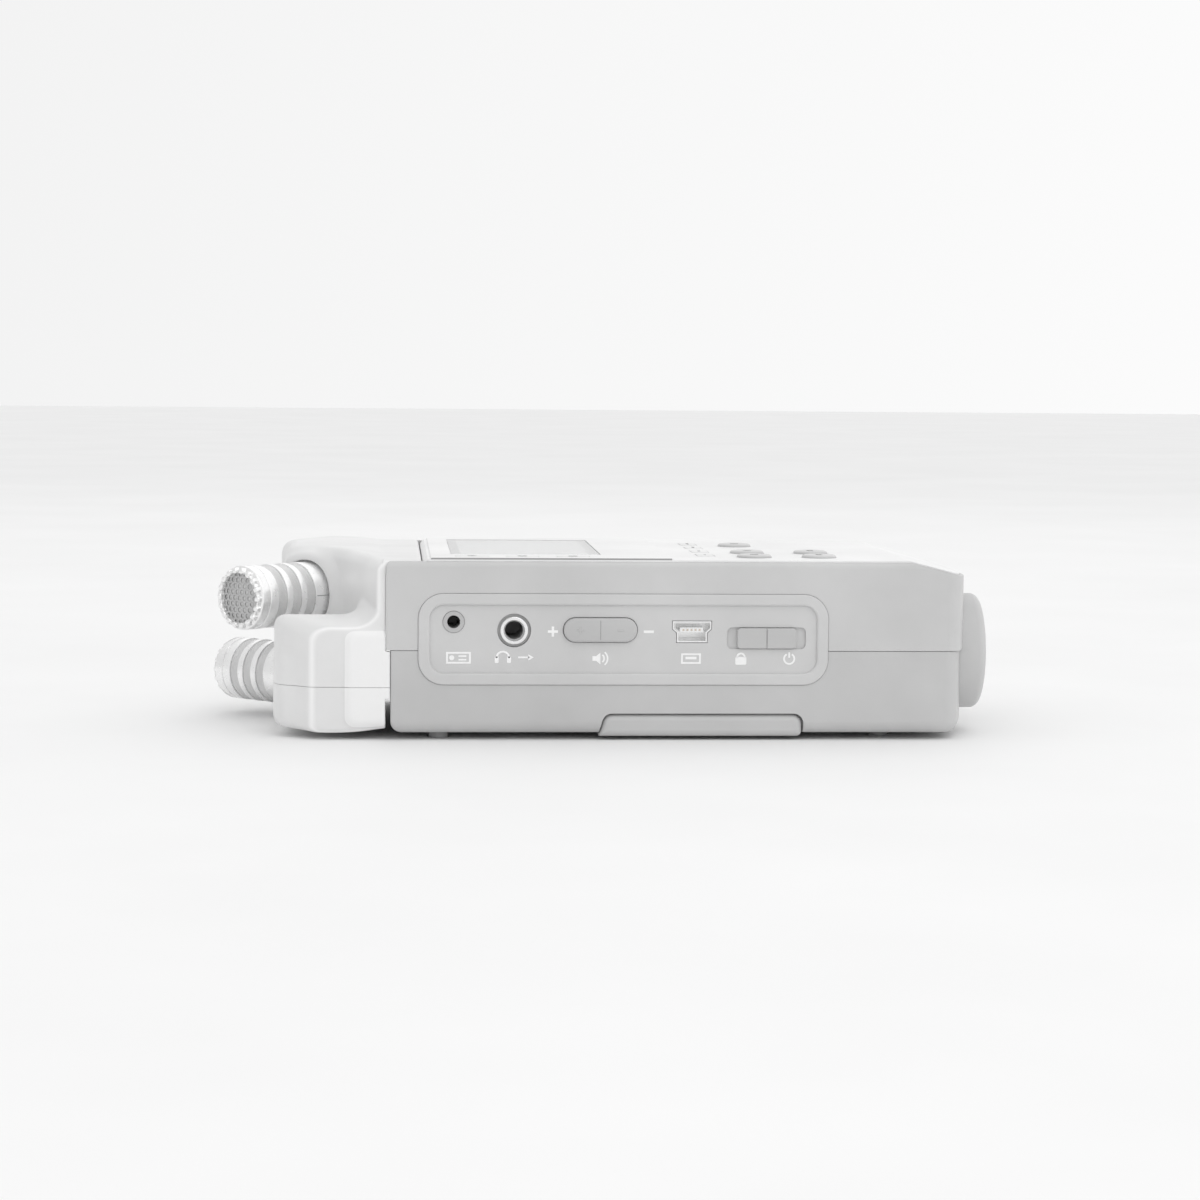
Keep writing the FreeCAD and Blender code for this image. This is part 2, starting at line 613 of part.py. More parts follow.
def menu_key():
    x, z = MENU_KEY_AT
    cap = rod((x, 31.8, z), (0, 1, 0), MENU_KEY_R, 3.9)
    return soften(cap, 0.5, lambda e: abs(e.BoundBox.YMin - 35.7) < 1e-3 and e.BoundBox.YLength < 1e-3)


def sd_door():
    x0, x1 = SD_DOOR_X
    z0, z1 = SD_DOOR_Z
    pin_z = z0 + 0.7
    plate = box(x0, x1, 33.8, 35.0, pin_z, z1)
    knuckle = rod((x0, 34.2, pin_z), (1, 0, 0), 0.7, x1 - x0)
    filler = box(x0, x1, 34.2, 35.0, pin_z - 0.55, pin_z)
    nail = rod(((x0 + x1) / 2 - 4, 35.35, z1 - 0.6), (1, 0, 0), 0.55, 8)
    pins = rod((x0 - 0.8, 34.2, pin_z), (1, 0, 0), 0.5, x1 - x0 + 1.6)
    return fuse(plate, knuckle, filler, pins).cut(nail)


def sd_socket():
    x0, x1 = SD_DOOR_X
    body = box(x0 + 0.8, x1 - 0.8, 5.0, 32.4, 19.4, 22.8)
    slot = box(x0 + 1.1, x1 - 1.1, 6.5, 33, 19.9, 22.2)
    return body.cut(slot)


# ---- input end ----------------------------------------------------------
def input_collar(y):
    tube = rod((COLLAR_X0, y, COLLAR_Z), (1, 0, 0), COLLAR_R, COLLAR_X1 - COLLAR_X0)
    rim = [e for e in tube.Edges if e.Closed and abs(e.BoundBox.XMin - COLLAR_X1) < 1e-3]
    tube = tube.makeFillet(COLLAR_RIM_R, rim)
    return tube.cut(rod((COLLAR_X0 - 1, y, COLLAR_Z), (1, 0, 0), COLLAR_BORE, 30))


def input_socket(y):
    flange = rod((COLLAR_X0, y, COLLAR_Z), (1, 0, 0), COLLAR_BORE, 3.0)
    core = rod((COLLAR_X0, y, COLLAR_Z), (1, 0, 0), CORE_R, CORE_X1 - COLLAR_X0)
    tail = box(COLLAR_X0 - 8, COLLAR_X0, y - 8, y + 8, COLLAR_Z - 8, COLLAR_Z + 8)
    core = fuse(flange, core, tail)
    holes = [rod((CORE_X1 - 15.0, y, COLLAR_Z), (1, 0, 0), PLUG_R, 16)]
    for degrees in (90, 210, 330):
        dy = PIN_CIRCLE_R * math.cos(math.radians(degrees))
        dz = PIN_CIRCLE_R * math.sin(math.radians(degrees))
        holes.append(rod((CORE_X1 - 10, y + dy, COLLAR_Z + dz), (1, 0, 0), PIN_HOLE_R, 12))
    return cut(core, *holes)


def dc_jack():
    body = fuse(box(62.5, 71.0, -4.2, 4.2, 17.8, 26.2), rod((71.0, 0, 22.0), (1, 0, 0), 3.1, 3.2))
    body = body.cut(rod((65.5, 0, 22.0), (1, 0, 0), 2.2, 12))
    return fuse(body, rod((65.0, 0, 22.0), (1, 0, 0), 0.7, 8.2))


def strap_bar():
    return rod((72.2, -6.5, 7.5), (0, 1, 0), 1.0, 13.0)


# ---- inside and underneath ----------------------------------------------
def main_board():
    board = box(-38, 56, -31.5, 31.5, *BOARD_Z)
    under = BOARD_Z[0]
    memory = box(-20, -8, -10, 2, under - 1.3, under)
    processor = box(4, 18, -8, 8, under - 1.5, under)
    converter = box(26, 34, -17, -8, under - 1.1, under)
    return fuse(board, memory, processor, converter)


def jack_board():
    return box(-36.0, 42.0, -20.6, -19.2, 19.2, 27.4)


def speaker():
    x, y = SPEAKER_AT
    basket = Part.makeCone(SPEAKER_R, SPEAKER_R - 2.5, 2.6, Vector(x, y, 4.6))
    rim = rod((x, y, 3.4), (0, 0, 1), SPEAKER_R, 1.2)
    magnet = rod((x, y, 7.2), (0, 0, 1), 4.0, 1.8)
    return fuse(rim, basket, magnet)


def external_mic_jack():
    x, y = EXT_MIC_AT
    neck = rod((x, y, CASE_BOTTOM - 0.1), (0, 0, 1), 3.0, 2.3)
    body = box(x - 4, x + 4, y - 4, y + 4, 3.45, 15.0)
    return fuse(neck, body).cut(rod((x, y, 0), (0, 0, 1), PHONE_R, 14.0))


def stamina_switch():
    x, y = STAMINA_AT
    knob = box(x - 2.5, x - 0.1, y - 1.1, y + 1.1, CASE_BOTTOM + 0.3, 3.9)
    plate = box(x - 4.5, x + 1.9, y - 2.4, y + 2.4, 3.6, 4.4)
    return fuse(knob, plate)


def tripod_insert():
    z0, z1 = INSERT_Z
    insert = rod((*INSERT_AT, z0), (0, 0, 1), INSERT_R, z1 - z0)
    return insert.cut(rod((*INSERT_AT, z0 - 1), (0, 0, 1), INSERT_BORE, z1 - z0 - 0.5))


def batteries():
    cells = []
    for x, way in zip(BATTERY_XS, (1, -1)):
        start = -way * BATTERY_L / 2
        can = rod((x, start, BATTERY_Z), (0, way, 0), BATTERY_R, BATTERY_L - 1.2)
        can = can.makeFillet(0.6, [e for e in can.Edges if e.Closed])
        nub = rod((x, start + way * (BATTERY_L - 1.3), BATTERY_Z), (0, way, 0), 2.7, 1.3)
        cells.append(fuse(can, nub))
    return Part.makeCompound(cells)


def spring_coil(x, y, way):
    """A short battery spring, drawn as stacked wire rings of growing size."""
    rings = []
    for i in range(4):
        centre = Vector(x, y + way * (0.45 + 0.75 * i), BATTERY_Z)
        rings.append(Part.makeTorus(3.4 - 0.35 * i, 0.4, centre, Vector(0, 1, 0)))
    return fuse(*rings, rod((x, y, BATTERY_Z), (0, way, 0), 2.1, 3.0))


def battery_contacts():
    """Wall plates at both ends of each cell, with a spring on the minus side."""
    pieces = []
    for x, way in zip(BATTERY_XS, (1, -1)):
        minus_y = -way * (BAY_Y - 0.02)
        plate = box(x - 5, x + 5, min(minus_y, minus_y + way * 0.5), max(minus_y, minus_y + way * 0.5), 5, 15)
        pieces.append(fuse(plate, spring_coil(x, minus_y + way * 0.4, way)))
        plus_y = way * (BAY_Y - 0.02)
        depth = BAY_Y - BATTERY_L / 2 - 0.1
        plus = box(x - 5, x + 5, min(plus_y, plus_y - way * 0.5), max(plus_y, plus_y - way * 0.5), 5, 15)
        bump = rod((x, plus_y, BATTERY_Z), (0, -way, 0), 3.0, depth)
        pieces.append(fuse(plus, bump))
    return Part.makeCompound(pieces)


def battery_cover():
    """A shallow channel: floor, two upturned sides, and a notch for the insert."""
    y = HALF_WIDTH
    profile = [
        Vector(cover_end_x(COVER_BOTTOM), 0, COVER_BOTTOM),
        Vector(cover_end_x(COVER_WRAP_Z), 0, COVER_WRAP_Z),
        Vector(COVER_X1, 0, COVER_WRAP_Z),
        Vector(COVER_X1, 0, COVER_BOTTOM),
    ]
    face = Part.Face(Part.makePolygon(profile + [profile[0]]))
    block = face.extrude(Vector(0, 2 * y, 0)).translated(Vector(0, -y, 0))
    across = lambda e: e.BoundBox.YLength > 60
    block = soften(block, COVER_CORNER_R, lambda e: across(e) and e.BoundBox.ZMin > 4)
    block = soften(block, 1.0, lambda e: across(e) and e.BoundBox.XMin > 38 and e.BoundBox.ZMax < 1)
    block = soften(block, 1.3, lambda e: e.BoundBox.XLength > 30 and e.BoundBox.ZMax < COVER_BOTTOM + 0.01)
    inner = y - COVER_WRAP_T
    hollow = box(-20, 60, -inner, inner, COVER_BOTTOM + COVER_T, 20)
    notch = rod((*INSERT_AT, -1), (0, 0, 1), BOSS_R + 0.5, 10)
    cover = block.cut(hollow)
    knuckles = []
    for y0, y1 in HINGE_PINS:
        knuckles.append(rod((HINGE_X, y0 + 2.1, HINGE_Z), (0, 1, 0), HINGE_LUG_R, y1 - y0 - 4.1))
    cover = fuse(cover, *knuckles)
    lug_room = [box(HINGE_X - 1.9, COVER_X1 + 1, y0 - 0.2, y1 + 0.2, -1, 3.0) for y0, y1 in HINGE_LUGS]
    bore_r = HINGE_PIN_R + 0.05
    bores = [rod((HINGE_X, y0 - 0.1, HINGE_Z), (0, 1, 0), bore_r, y1 - y0 + 0.2) for y0, y1 in HINGE_PINS]
    return cut(cover, notch, *lug_room, *bores)


def hinge_pins():
    pins = [rod((HINGE_X, y0, HINGE_Z), (0, 1, 0), HINGE_PIN_R, y1 - y0) for y0, y1 in HINGE_PINS]
    return Part.makeCompound(pins)


def screw(x, y, head_z, length):
    head = rod((x, y, head_z), (0, 0, 1), 2.4, 1.6)
    shank = rod((x, y, head_z + 1.5), (0, 0, 1), 1.1, length)
    cross = fuse(box(x - 1.4, x + 1.4, y - 0.3, y + 0.3, head_z - 1, head_z + 0.8),
                 box(x - 0.3, x + 0.3, y - 1.4, y + 1.4, head_z - 1, head_z + 0.8))
    return fuse(head, shank).cut(cross)


def screws():
    case = [screw(x, y, 2.3, 9.0) for x, y in CASE_SCREWS]
    housing = [screw(x, y, 2.3, 8.7) for x, y in HOUSING_SCREWS]
    return Part.makeCompound(case + housing)


def rubber_feet():
    feet = []
    for x, y in FEET:
        foot = rod((x, y, 0), (0, 0, 1), FOOT_R, CASE_BOTTOM + 0.58)
        feet.append(foot.makeFillet(0.3, [e for e in foot.Edges if e.Closed and e.BoundBox.ZMax < 0.01]))
    return Part.makeCompound(feet)


# ---- microphones --------------------------------------------------------
def mic_axes(side):
    """Capsule direction and turn axis, both pointing away from the socket."""
    rest, turn = math.radians(REST_DEG), math.radians(TURN_DEG)
    capsule = Vector(-math.cos(rest), side * math.sin(rest), 0)
    axis = Vector(-math.cos(turn), side * math.sin(turn), 0)
    return capsule, axis


def mic_centre(front, side):
    capsule, _ = mic_axes(side)
    return front - capsule * MIC_LENGTH


def behind(centre, axis, size=60):
    """A slab that covers everything behind the socket plane."""
    return Part.makeCylinder(size, size, centre, axis * -1)


def mic_barrel(front, side):
    capsule, axis = mic_axes(side)
    centre = mic_centre(front, side)
    back = MIC_LENGTH + 4
    body = Part.makeCylinder(MIC_R, back - CROWN_LENGTH, front - capsule * back, capsule)
    for near, far in BANDS:
        ring = Part.makeCylinder(MIC_R + 1, far - near, front - capsule * far, capsule)
        core = Part.makeCylinder(MIC_R - BAND_DEPTH, far - near, front - capsule * far, capsule)
        body = body.cut(ring.cut(core))
    body = body.cut(behind(centre, axis))
    body = body.cut(Part.makeCylinder(CAPSULE_R + 0.1, BARREL_BORE, front - capsule * BARREL_BORE, capsule))
    swivel = Part.makeCylinder(SWIVEL_R, 3.2, centre - axis * 3.0, axis)
    return fuse(body, swivel)


def mic_crown(front, side):
    capsule, _ = mic_axes(side)
    back = front - capsule * CROWN_LENGTH
    tube = Part.makeCylinder(CROWN_R, CROWN_LENGTH - CROWN_BEVEL, back, capsule)
    cone = Part.makeCone(CROWN_R, CROWN_TIP_R, CROWN_BEVEL, front - capsule * CROWN_BEVEL, capsule)
    ring = fuse(tube, cone).cut(Part.makeCylinder(MESH_R, 10, front - capsule * 5, capsule))
    across = capsule.cross(Z_UP)
    slots = []
    for i in range(CROWN_TEETH):
        angle = 2 * math.pi * i / CROWN_TEETH
        out = across * math.cos(angle) + Z_UP * math.sin(angle)
        slots.append(Part.makeCylinder(0.32, 6, front + out * 4.0 - capsule * 0.1, out))
    return cut(ring, *slots)


def mic_mesh(front, side):
    capsule, _ = mic_axes(side)
    return Part.makeCylinder(MESH_R - 0.02, 0.4, front - capsule * 1.0, capsule)


def mic_capsule(front, side):
    capsule, _ = mic_axes(side)
    near, far = CAPSULE_AT
    return Part.makeCylinder(CAPSULE_R, far - near, front - capsule * far, capsule)


# ---- microphone housing -------------------------------------------------
def wall_line(side):
    """Plan points of the full-height wall beside one socket."""
    return [(-54.2, side * 6.0), (-51.6, side * 12.5), (-49.6, side * 20.0), (-47.4, side * 28.0),
            (-44.6, side * LOBE_Y)]


def lobe_tall(side, z0, z1):
    points = [(HOUSING_BACK, side * LOBE_Y), (-58.6, side * LOBE_Y), (LOBE_X, side * 28.0),
              (LOBE_X, side * LOBE_INNER_Y), (HOUSING_BACK, side * (LOBE_INNER_Y - 4.0))]
    lobe = prism(points, z0, z1)
    lobe = soften(lobe, 3.2, lambda e: upright(e) and e.BoundBox.XMax < LOBE_X + 0.1)
    return soften(lobe, 4.0, lambda e: upright(e) and abs(e.BoundBox.XMax + 58.6) < 0.1)


def lobe_sleeve(front, side, z0, z1):
    """The block round one socket; its face is square to the turn axis."""
    _, axis = mic_axes(-side)
    centre = mic_centre(front, -side)
    face = centre + axis * SOCKET_DEPTH
    along = Vector(-axis.y, axis.x, 0)
    if along.x > 0:
        along = along * -1
    outer = face + along * ((LOBE_X - face.x) / along.x)
    inner = face - along * ((-54.0 - face.x) / -along.x)
    points = [(HOUSING_BACK, side * 26.0), (LOBE_X, side * 26.0), (outer.x, outer.y), (inner.x, inner.y),
              (HOUSING_BACK, inner.y)]
    sleeve = prism(points, z0, z1)
    outer_corner = lambda e: upright(e) and e.BoundBox.XMax < LOBE_X + 0.1 and abs(e.BoundBox.YMax) < 12
    return soften(sleeve, 1.6, outer_corner)


def housing_block():
    core_points = [(HOUSING_BACK, -LOBE_Y)] + list(reversed(wall_line(-1))) + wall_line(1)
    core_points += [(HOUSING_BACK, LOBE_Y)]
    core = prism(core_points, LOBE_LOW, HOUSING_TOP)
    near_sleeve = lobe_sleeve(LOWER_FRONT, -1, LOBE_LOW, SLEEVE_TOP)
    far_sleeve = lobe_sleeve(UPPER_FRONT, 1, FAR_SLEEVE_LOW, HOUSING_TOP)
    near = fuse(lobe_tall(-1, LOBE_LOW, NEAR_LOBE_TOP), near_sleeve)
    far = fuse(lobe_tall(1, FAR_LOBE_LOW, HOUSING_TOP), far_sleeve)
    near = soften(near, 2.0, flat_at(NEAR_LOBE_TOP))
    near = soften(near, 1.8, lambda e: flat_at(LOBE_LOW)(e) and e.BoundBox.XMax < -50)
    far = soften(far, 2.4, lambda e: flat_at(HOUSING_TOP)(e) and e.BoundBox.XMax < -50)
    far = soften(far, 1.6, flat_at(FAR_LOBE_LOW))
    return fuse(core, near, far)


def housing_voids():
    """Room for the swivels and wires inside the housing."""
    core = box(-50.5, HOUSING_BACK + 2, -17.0, 17.0, 3.0, 33.5)
    near = box(-60.0, -49.0, -31.5, -26.5, 3.0, 21.5)
    near_link = box(-52.0, HOUSING_BACK + 2, -31.5, -10.0, 3.0, 15.0)
    far = box(-60.0, -49.0, 26.5, 31.5, 15.0, 33.0)
    far_link = box(-52.0, HOUSING_BACK + 2, 10.0, 31.5, 21.0, 33.0)
    return [core, near, near_link, far, far_link]


def side_blocks():
    """The raised blocks on the outer sides, one low and one high."""
    pads = []
    for sign, z0, z1 in ((-1, 2.0, 21.5), (1, 15.2, 34.3)):
        y0, y1 = sorted((sign * (LOBE_Y - 1.5), sign * PAD_Y))
        pad = rounded_slab(-51.9, HOUSING_BACK + 2, z0, z1, y0, y1, 2.4)
        pads.append(soften(pad, 0.4, lambda e: e.BoundBox.YLength < 1e-3 and abs(e.BoundBox.YMin) > LOBE_Y))
    return pads


def sockets():
    tools = []
    for front, side in ((UPPER_FRONT, -1), (LOWER_FRONT, 1)):
        _, axis = mic_axes(side)
        centre = mic_centre(front, side)
        tools.append(Part.makeCylinder(SOCKET_R, 12, centre - axis * 0.15, axis))
        tools.append(Part.makeCylinder(SWIVEL_R + 0.06, 6, centre - axis * 4.5, axis))
    return tools


def top_ramp():
    """What is above the housing's crown as it comes down to the panel's level."""
    profile = [Vector(-52, 0, HOUSING_TOP), Vector(-40, 0, 35.2), Vector(-40, 0, 40), Vector(-52, 0, 40)]
    ramp = Part.Face(Part.makePolygon(profile + [profile[0]])).extrude(Vector(0, 100, 0))
    return ramp.translated(Vector(0, -50, 0))


def below_housing():
    """What is under the housing's gently rising bottom."""
    profile = [Vector(x, 0, z) for x, z in HOUSING_BOTTOM]
    profile += [Vector(HOUSING_BOTTOM[-1][0], 0, -5), Vector(HOUSING_BOTTOM[0][0], 0, -5)]
    low = Part.Face(Part.makePolygon(profile + [profile[0]])).extrude(Vector(0, 100, 0))
    return low.translated(Vector(0, -50, 0))


def pad_tab():
    x0 = HOUSING_BACK - 1.0
    return box(x0, PAD_TAB_X, -PAD_Y + 0.1, -33.3, *PAD_TAB_Z)


def mic_housing():
    """The two halves of the housing, split on a level line."""
    x1 = PANEL_X0 - FIT
    tongue = box(HOUSING_BACK - 0.5, x1, -TONGUE_Y, TONGUE_Y, *TONGUE_Z)
    block = cut(housing_block(), top_ramp(), below_housing())
    block = cut(block, *housing_voids())
    block = cut(fuse(block, *side_blocks()), below_housing())
    for x, y in HOUSING_SCREWS:
        block = cut(block, rod((x, y, 0), (0, 0, 1), 2.6, 3.9), rod((x, y, 0), (0, 0, 1), 1.15, 13))
    block = cut(block, box(HOUSING_BACK, -30, -40, 40, 0, 40))
    block = fuse(block, tongue, pad_tab())
    block = cut(block, seam_groove(), *sockets())
    far = 200
    low = box(-far, far, -far, far, -10, HOUSING_SEAM_Z - FIT / 2)
    high = box(-far, far, -far, far, HOUSING_SEAM_Z + FIT / 2, 60)
    return block.common(high), block.common(low)


# ---- the model ----------------------------------------------------------
def build():
    parts["upper_case"] = upper_case()
    parts["lower_case"] = lower_case()
    parts["front_panel"] = front_panel()
    parts["display_window"] = display_window()
    parts["display_module"] = display_module()
    parts["key_mat"] = key_mat()
    for name, make in key_outlines(0.0):
        parts[name] = front_key(name, make)
    parts["left_side_panel"] = left_side_panel()
    parts["right_side_panel"] = right_side_panel()
    parts["volume_rocker"] = rocker(-1, ROCKER_X)
    parts["level_rocker"] = rocker(1, LEVEL_X)
    parts["remote_jack"] = ring_jack(REMOTE_JACK, -34.9, 2.1, REMOTE_R, 2.8, 11.0)
    parts["phone_jack"] = ring_jack(PHONE_JACK, PHONE_RING_Y[1] + 0.02, PHONE_HOLE_R - 0.05, PHONE_R, 3.3, 12.4)
    parts["phone_jack_ring"] = phone_jack_ring()
    parts["usb_socket"] = usb_socket()
    parts["power_slide"] = power_slide()
    parts["menu_wheel"] = menu_wheel()
    parts["wheel_encoder"] = wheel_encoder()
    parts["menu_key"] = menu_key()
    parts["sd_door"] = sd_door()
    parts["sd_socket"] = sd_socket()
    for name, y in COLLAR_YS.items():
        parts[f"{name}_collar"] = input_collar(y)
        parts[f"{name}_socket"] = input_socket(y)
    parts["dc_jack"] = dc_jack()
    parts["strap_bar"] = strap_bar()
    parts["main_board"] = main_board()
    parts["jack_board"] = jack_board()
    parts["speaker"] = speaker()
    parts["external_mic_jack"] = external_mic_jack()
    parts["stamina_switch"] = stamina_switch()
    parts["tripod_insert"] = tripod_insert()
    parts["batteries"] = batteries()
    parts["battery_contacts"] = battery_contacts()
    parts["battery_cover"] = battery_cover()
    parts["battery_hinge_pins"] = hinge_pins()
    parts["screws"] = screws()
    parts["rubber_feet"] = rubber_feet()
    for name, front, side in (("upper_mic", UPPER_FRONT, -1), ("lower_mic", LOWER_FRONT, 1)):
        parts[f"{name}_barrel"] = mic_barrel(front, side)
        parts[f"{name}_crown"] = mic_crown(front, side)
        parts[f"{name}_mesh"] = mic_mesh(front, side)
        parts[f"{name}_capsule"] = mic_capsule(front, side)
    upper, lower = mic_housing()
    parts["mic_housing_upper"] = upper
    parts["mic_housing_lower"] = lower


build()
os.makedirs("parts", exist_ok=True)
for node, shape in parts.items():
    shape = shape.translated(CENTRING)
    solids = shape.Solids
    print(node, "solids", len(solids), "valid", shape.isValid(), "volume", round(shape.Volume, 1))
    shape.exportStep(f"parts/{node}.step")
print("nodes", len(parts))
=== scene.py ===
import math
from contextlib import contextmanager

import bmesh
import bpy
import numpy as np
from mathutils import Matrix, Vector


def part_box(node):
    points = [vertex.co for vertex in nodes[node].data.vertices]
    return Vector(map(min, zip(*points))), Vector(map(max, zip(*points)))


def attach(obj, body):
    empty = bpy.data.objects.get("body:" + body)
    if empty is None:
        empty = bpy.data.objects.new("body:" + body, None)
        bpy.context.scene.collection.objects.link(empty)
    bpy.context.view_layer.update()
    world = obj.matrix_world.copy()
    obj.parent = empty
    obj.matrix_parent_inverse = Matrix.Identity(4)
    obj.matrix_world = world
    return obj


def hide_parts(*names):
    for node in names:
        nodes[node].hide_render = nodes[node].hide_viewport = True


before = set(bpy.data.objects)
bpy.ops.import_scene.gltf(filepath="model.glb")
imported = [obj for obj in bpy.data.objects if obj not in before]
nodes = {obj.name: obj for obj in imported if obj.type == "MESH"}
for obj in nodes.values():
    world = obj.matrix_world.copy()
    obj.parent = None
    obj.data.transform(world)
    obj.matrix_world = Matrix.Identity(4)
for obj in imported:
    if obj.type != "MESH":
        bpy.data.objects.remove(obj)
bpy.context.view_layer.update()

# Lengths in this script are in millimetres; add_mesh turns them into metres.
MM = 0.001
SHIFT = 1.95                 # the frame's origin is this far towards the microphones
SIDE_FACE_Y = 34.75          # the recessed face of a side panel
PANEL_TOP = 35.55            # the front panel's flat top
ICON_H = 0.06                # how far printed marks stand proud


def node_box(name):
    """A CAD node's lowest and highest corners, in millimetres."""
    low, high = (np.array(corner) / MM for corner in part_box(name))
    low[0] -= SHIFT
    high[0] -= SHIFT
    return low, high


# ---- meshes -------------------------------------------------------------
def add_mesh(name, verts, faces, material, body="case", smooth=True, slot=None):
    """A new piece from points in millimetres, riding on a body."""
    mesh = bpy.data.meshes.new(name)
    points = (np.asarray(verts, dtype=float) + [SHIFT, 0, 0]) * MM
    mesh.from_pydata(points.tolist(), [], [list(map(int, f)) for f in faces])
    mesh.validate()
    mesh.materials.append(material)
    mesh.polygons.foreach_set("use_smooth", [smooth] * len(mesh.polygons))
    piece = bpy.data.objects.new(name, mesh)
    bpy.context.scene.collection.objects.link(piece)
    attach(piece, body)
    return piece


def sharpen(piece, degrees):
    """Smooth shading that keeps the edges sharper than an angle."""
    piece.data.set_sharp_from_angle(angle=math.radians(degrees))


@contextmanager
def editing(piece):
    """A piece's mesh opened for editing, and written back afterwards."""
    mesh = bmesh.new()
    mesh.from_mesh(piece.data)
    yield mesh
    mesh.to_mesh(piece.data)
    mesh.free()


def face_outwards(piece):
    """Makes a piece's faces agree on which side is out."""
    with editing(piece) as mesh:
        bmesh.ops.recalc_face_normals(mesh, faces=mesh.faces)


def cut_and_close(mesh, point, normal, **clear):
    """Cuts an opened mesh by a plane, clears one side and closes the cut."""
    every = mesh.verts[:] + mesh.edges[:] + mesh.faces[:]
    result = bmesh.ops.bisect_plane(mesh, geom=every, plane_co=point, plane_no=normal, **clear)
    rim = [e for e in result["geom_cut"] if isinstance(e, bmesh.types.BMEdge)]
    bmesh.ops.holes_fill(mesh, edges=rim, sides=0)


def smooth_all(piece, degrees):
    piece.data.polygons.foreach_set("use_smooth", [True] * len(piece.data.polygons))
    sharpen(piece, degrees)


def lathe(profile, segments, place, wave=None, closed=False):
    """Turns (length, radius) points round an axis. place maps a local point to millimetres.

    wave gives the change in length and radius at an angle."""
    count = len(profile)
    verts = []
    for length, radius in profile:
        for i in range(segments):
            angle = 2 * math.pi * i / segments
            more_length, more_radius = (0.0, 0.0) if wave is None else wave(angle, length, radius)
            r = radius + more_radius
            verts.append(place(r * math.cos(angle), r * math.sin(angle), length + more_length))
    faces = []
    for j in range(count - 1 if not closed else count):
        k = (j + 1) % count
        for i in range(segments):
            n = (i + 1) % segments
            faces.append((j * segments + i, j * segments + n, k * segments + n, k * segments + i))
    if not closed:
        for j in (0, count - 1):
            if profile[j][1] > 1e-6:
                faces.append(tuple(j * segments + i for i in range(segments)))
    return verts, faces


def extrude_outline(points, height, lift, place):
    """A thin plate from a flat outline; place maps (a, b, height) to millimetres."""
    n = len(points)
    verts = [place(a, b, lift) for a, b in points] + [place(a, b, lift + height) for a, b in points]
    faces = [tuple(range(n - 1, -1, -1)), tuple(range(n, 2 * n))]
    faces += [(i, (i + 1) % n, n + (i + 1) % n, n + i) for i in range(n)]
    return verts, faces


def merged(parts):
    """Several (points, faces) in one."""
    verts, faces = [], []
    for v, f in parts:
        base = len(verts)
        verts += list(v)
        faces += [tuple(base + i for i in face) for face in f]
    return verts, faces


# ---- outlines -----------------------------------------------------------
def rectangle(x, y, width, height, radius=0.0, steps=5):
    """A rectangle round a point, with round corners if it has a radius."""
    if radius <= 0:
        return [(x - width / 2, y - height / 2), (x + width / 2, y - height / 2),
                (x + width / 2, y + height / 2), (x - width / 2, y + height / 2)]
    points = []
    for sx, sy, start in ((1, 1, 0), (-1, 1, 90), (-1, -1, 180), (1, -1, 270)):
        for i in range(steps + 1):
            angle = math.radians(start + 90 * i / steps)
            points.append((x + sx * (width / 2 - radius) + radius * math.cos(angle),
                           y + sy * (height / 2 - radius) + radius * math.sin(angle)))
    return points


def arc_band(x, y, inner, outer, start, end, steps=18):
    """A part of a ring, between two angles in degrees."""
    angles = [math.radians(start + (end - start) * i / steps) for i in range(steps + 1)]
    rim = [(x + outer * math.cos(a), y + outer * math.sin(a)) for a in angles]
    return rim + [(x + inner * math.cos(a), y + inner * math.sin(a)) for a in reversed(angles)]


def disc(x, y, radius, steps=28):
    return [(x + radius * math.cos(2 * math.pi * i / steps), y + radius * math.sin(2 * math.pi * i / steps))
            for i in range(steps)]


def triangle(x, y, size, way=1):
    back, point, half = x - way * size / 2, x + way * size / 2, size * 0.55
    return [(back, y - half), (point, y), (back, y + half)]


def frame_outline(x, y, width, height, line):
    """A rectangular outline drawn as four bars that meet without overlapping."""
    inner = height - 2 * line
    return [rectangle(x, y + height / 2 - line / 2, width, line),
            rectangle(x, y - height / 2 + line / 2, width, line),
            rectangle(x - width / 2 + line / 2, y, line, inner),
            rectangle(x + width / 2 - line / 2, y, line, inner)]


def cross(size, line):
    a, b = size / 2, line / 2
    return [(a, -b), (a, b), (b, b), (b, a), (-b, a), (-b, b),
            (-a, b), (-a, -b), (-b, -b), (-b, -a), (b, -a), (b, -b)]


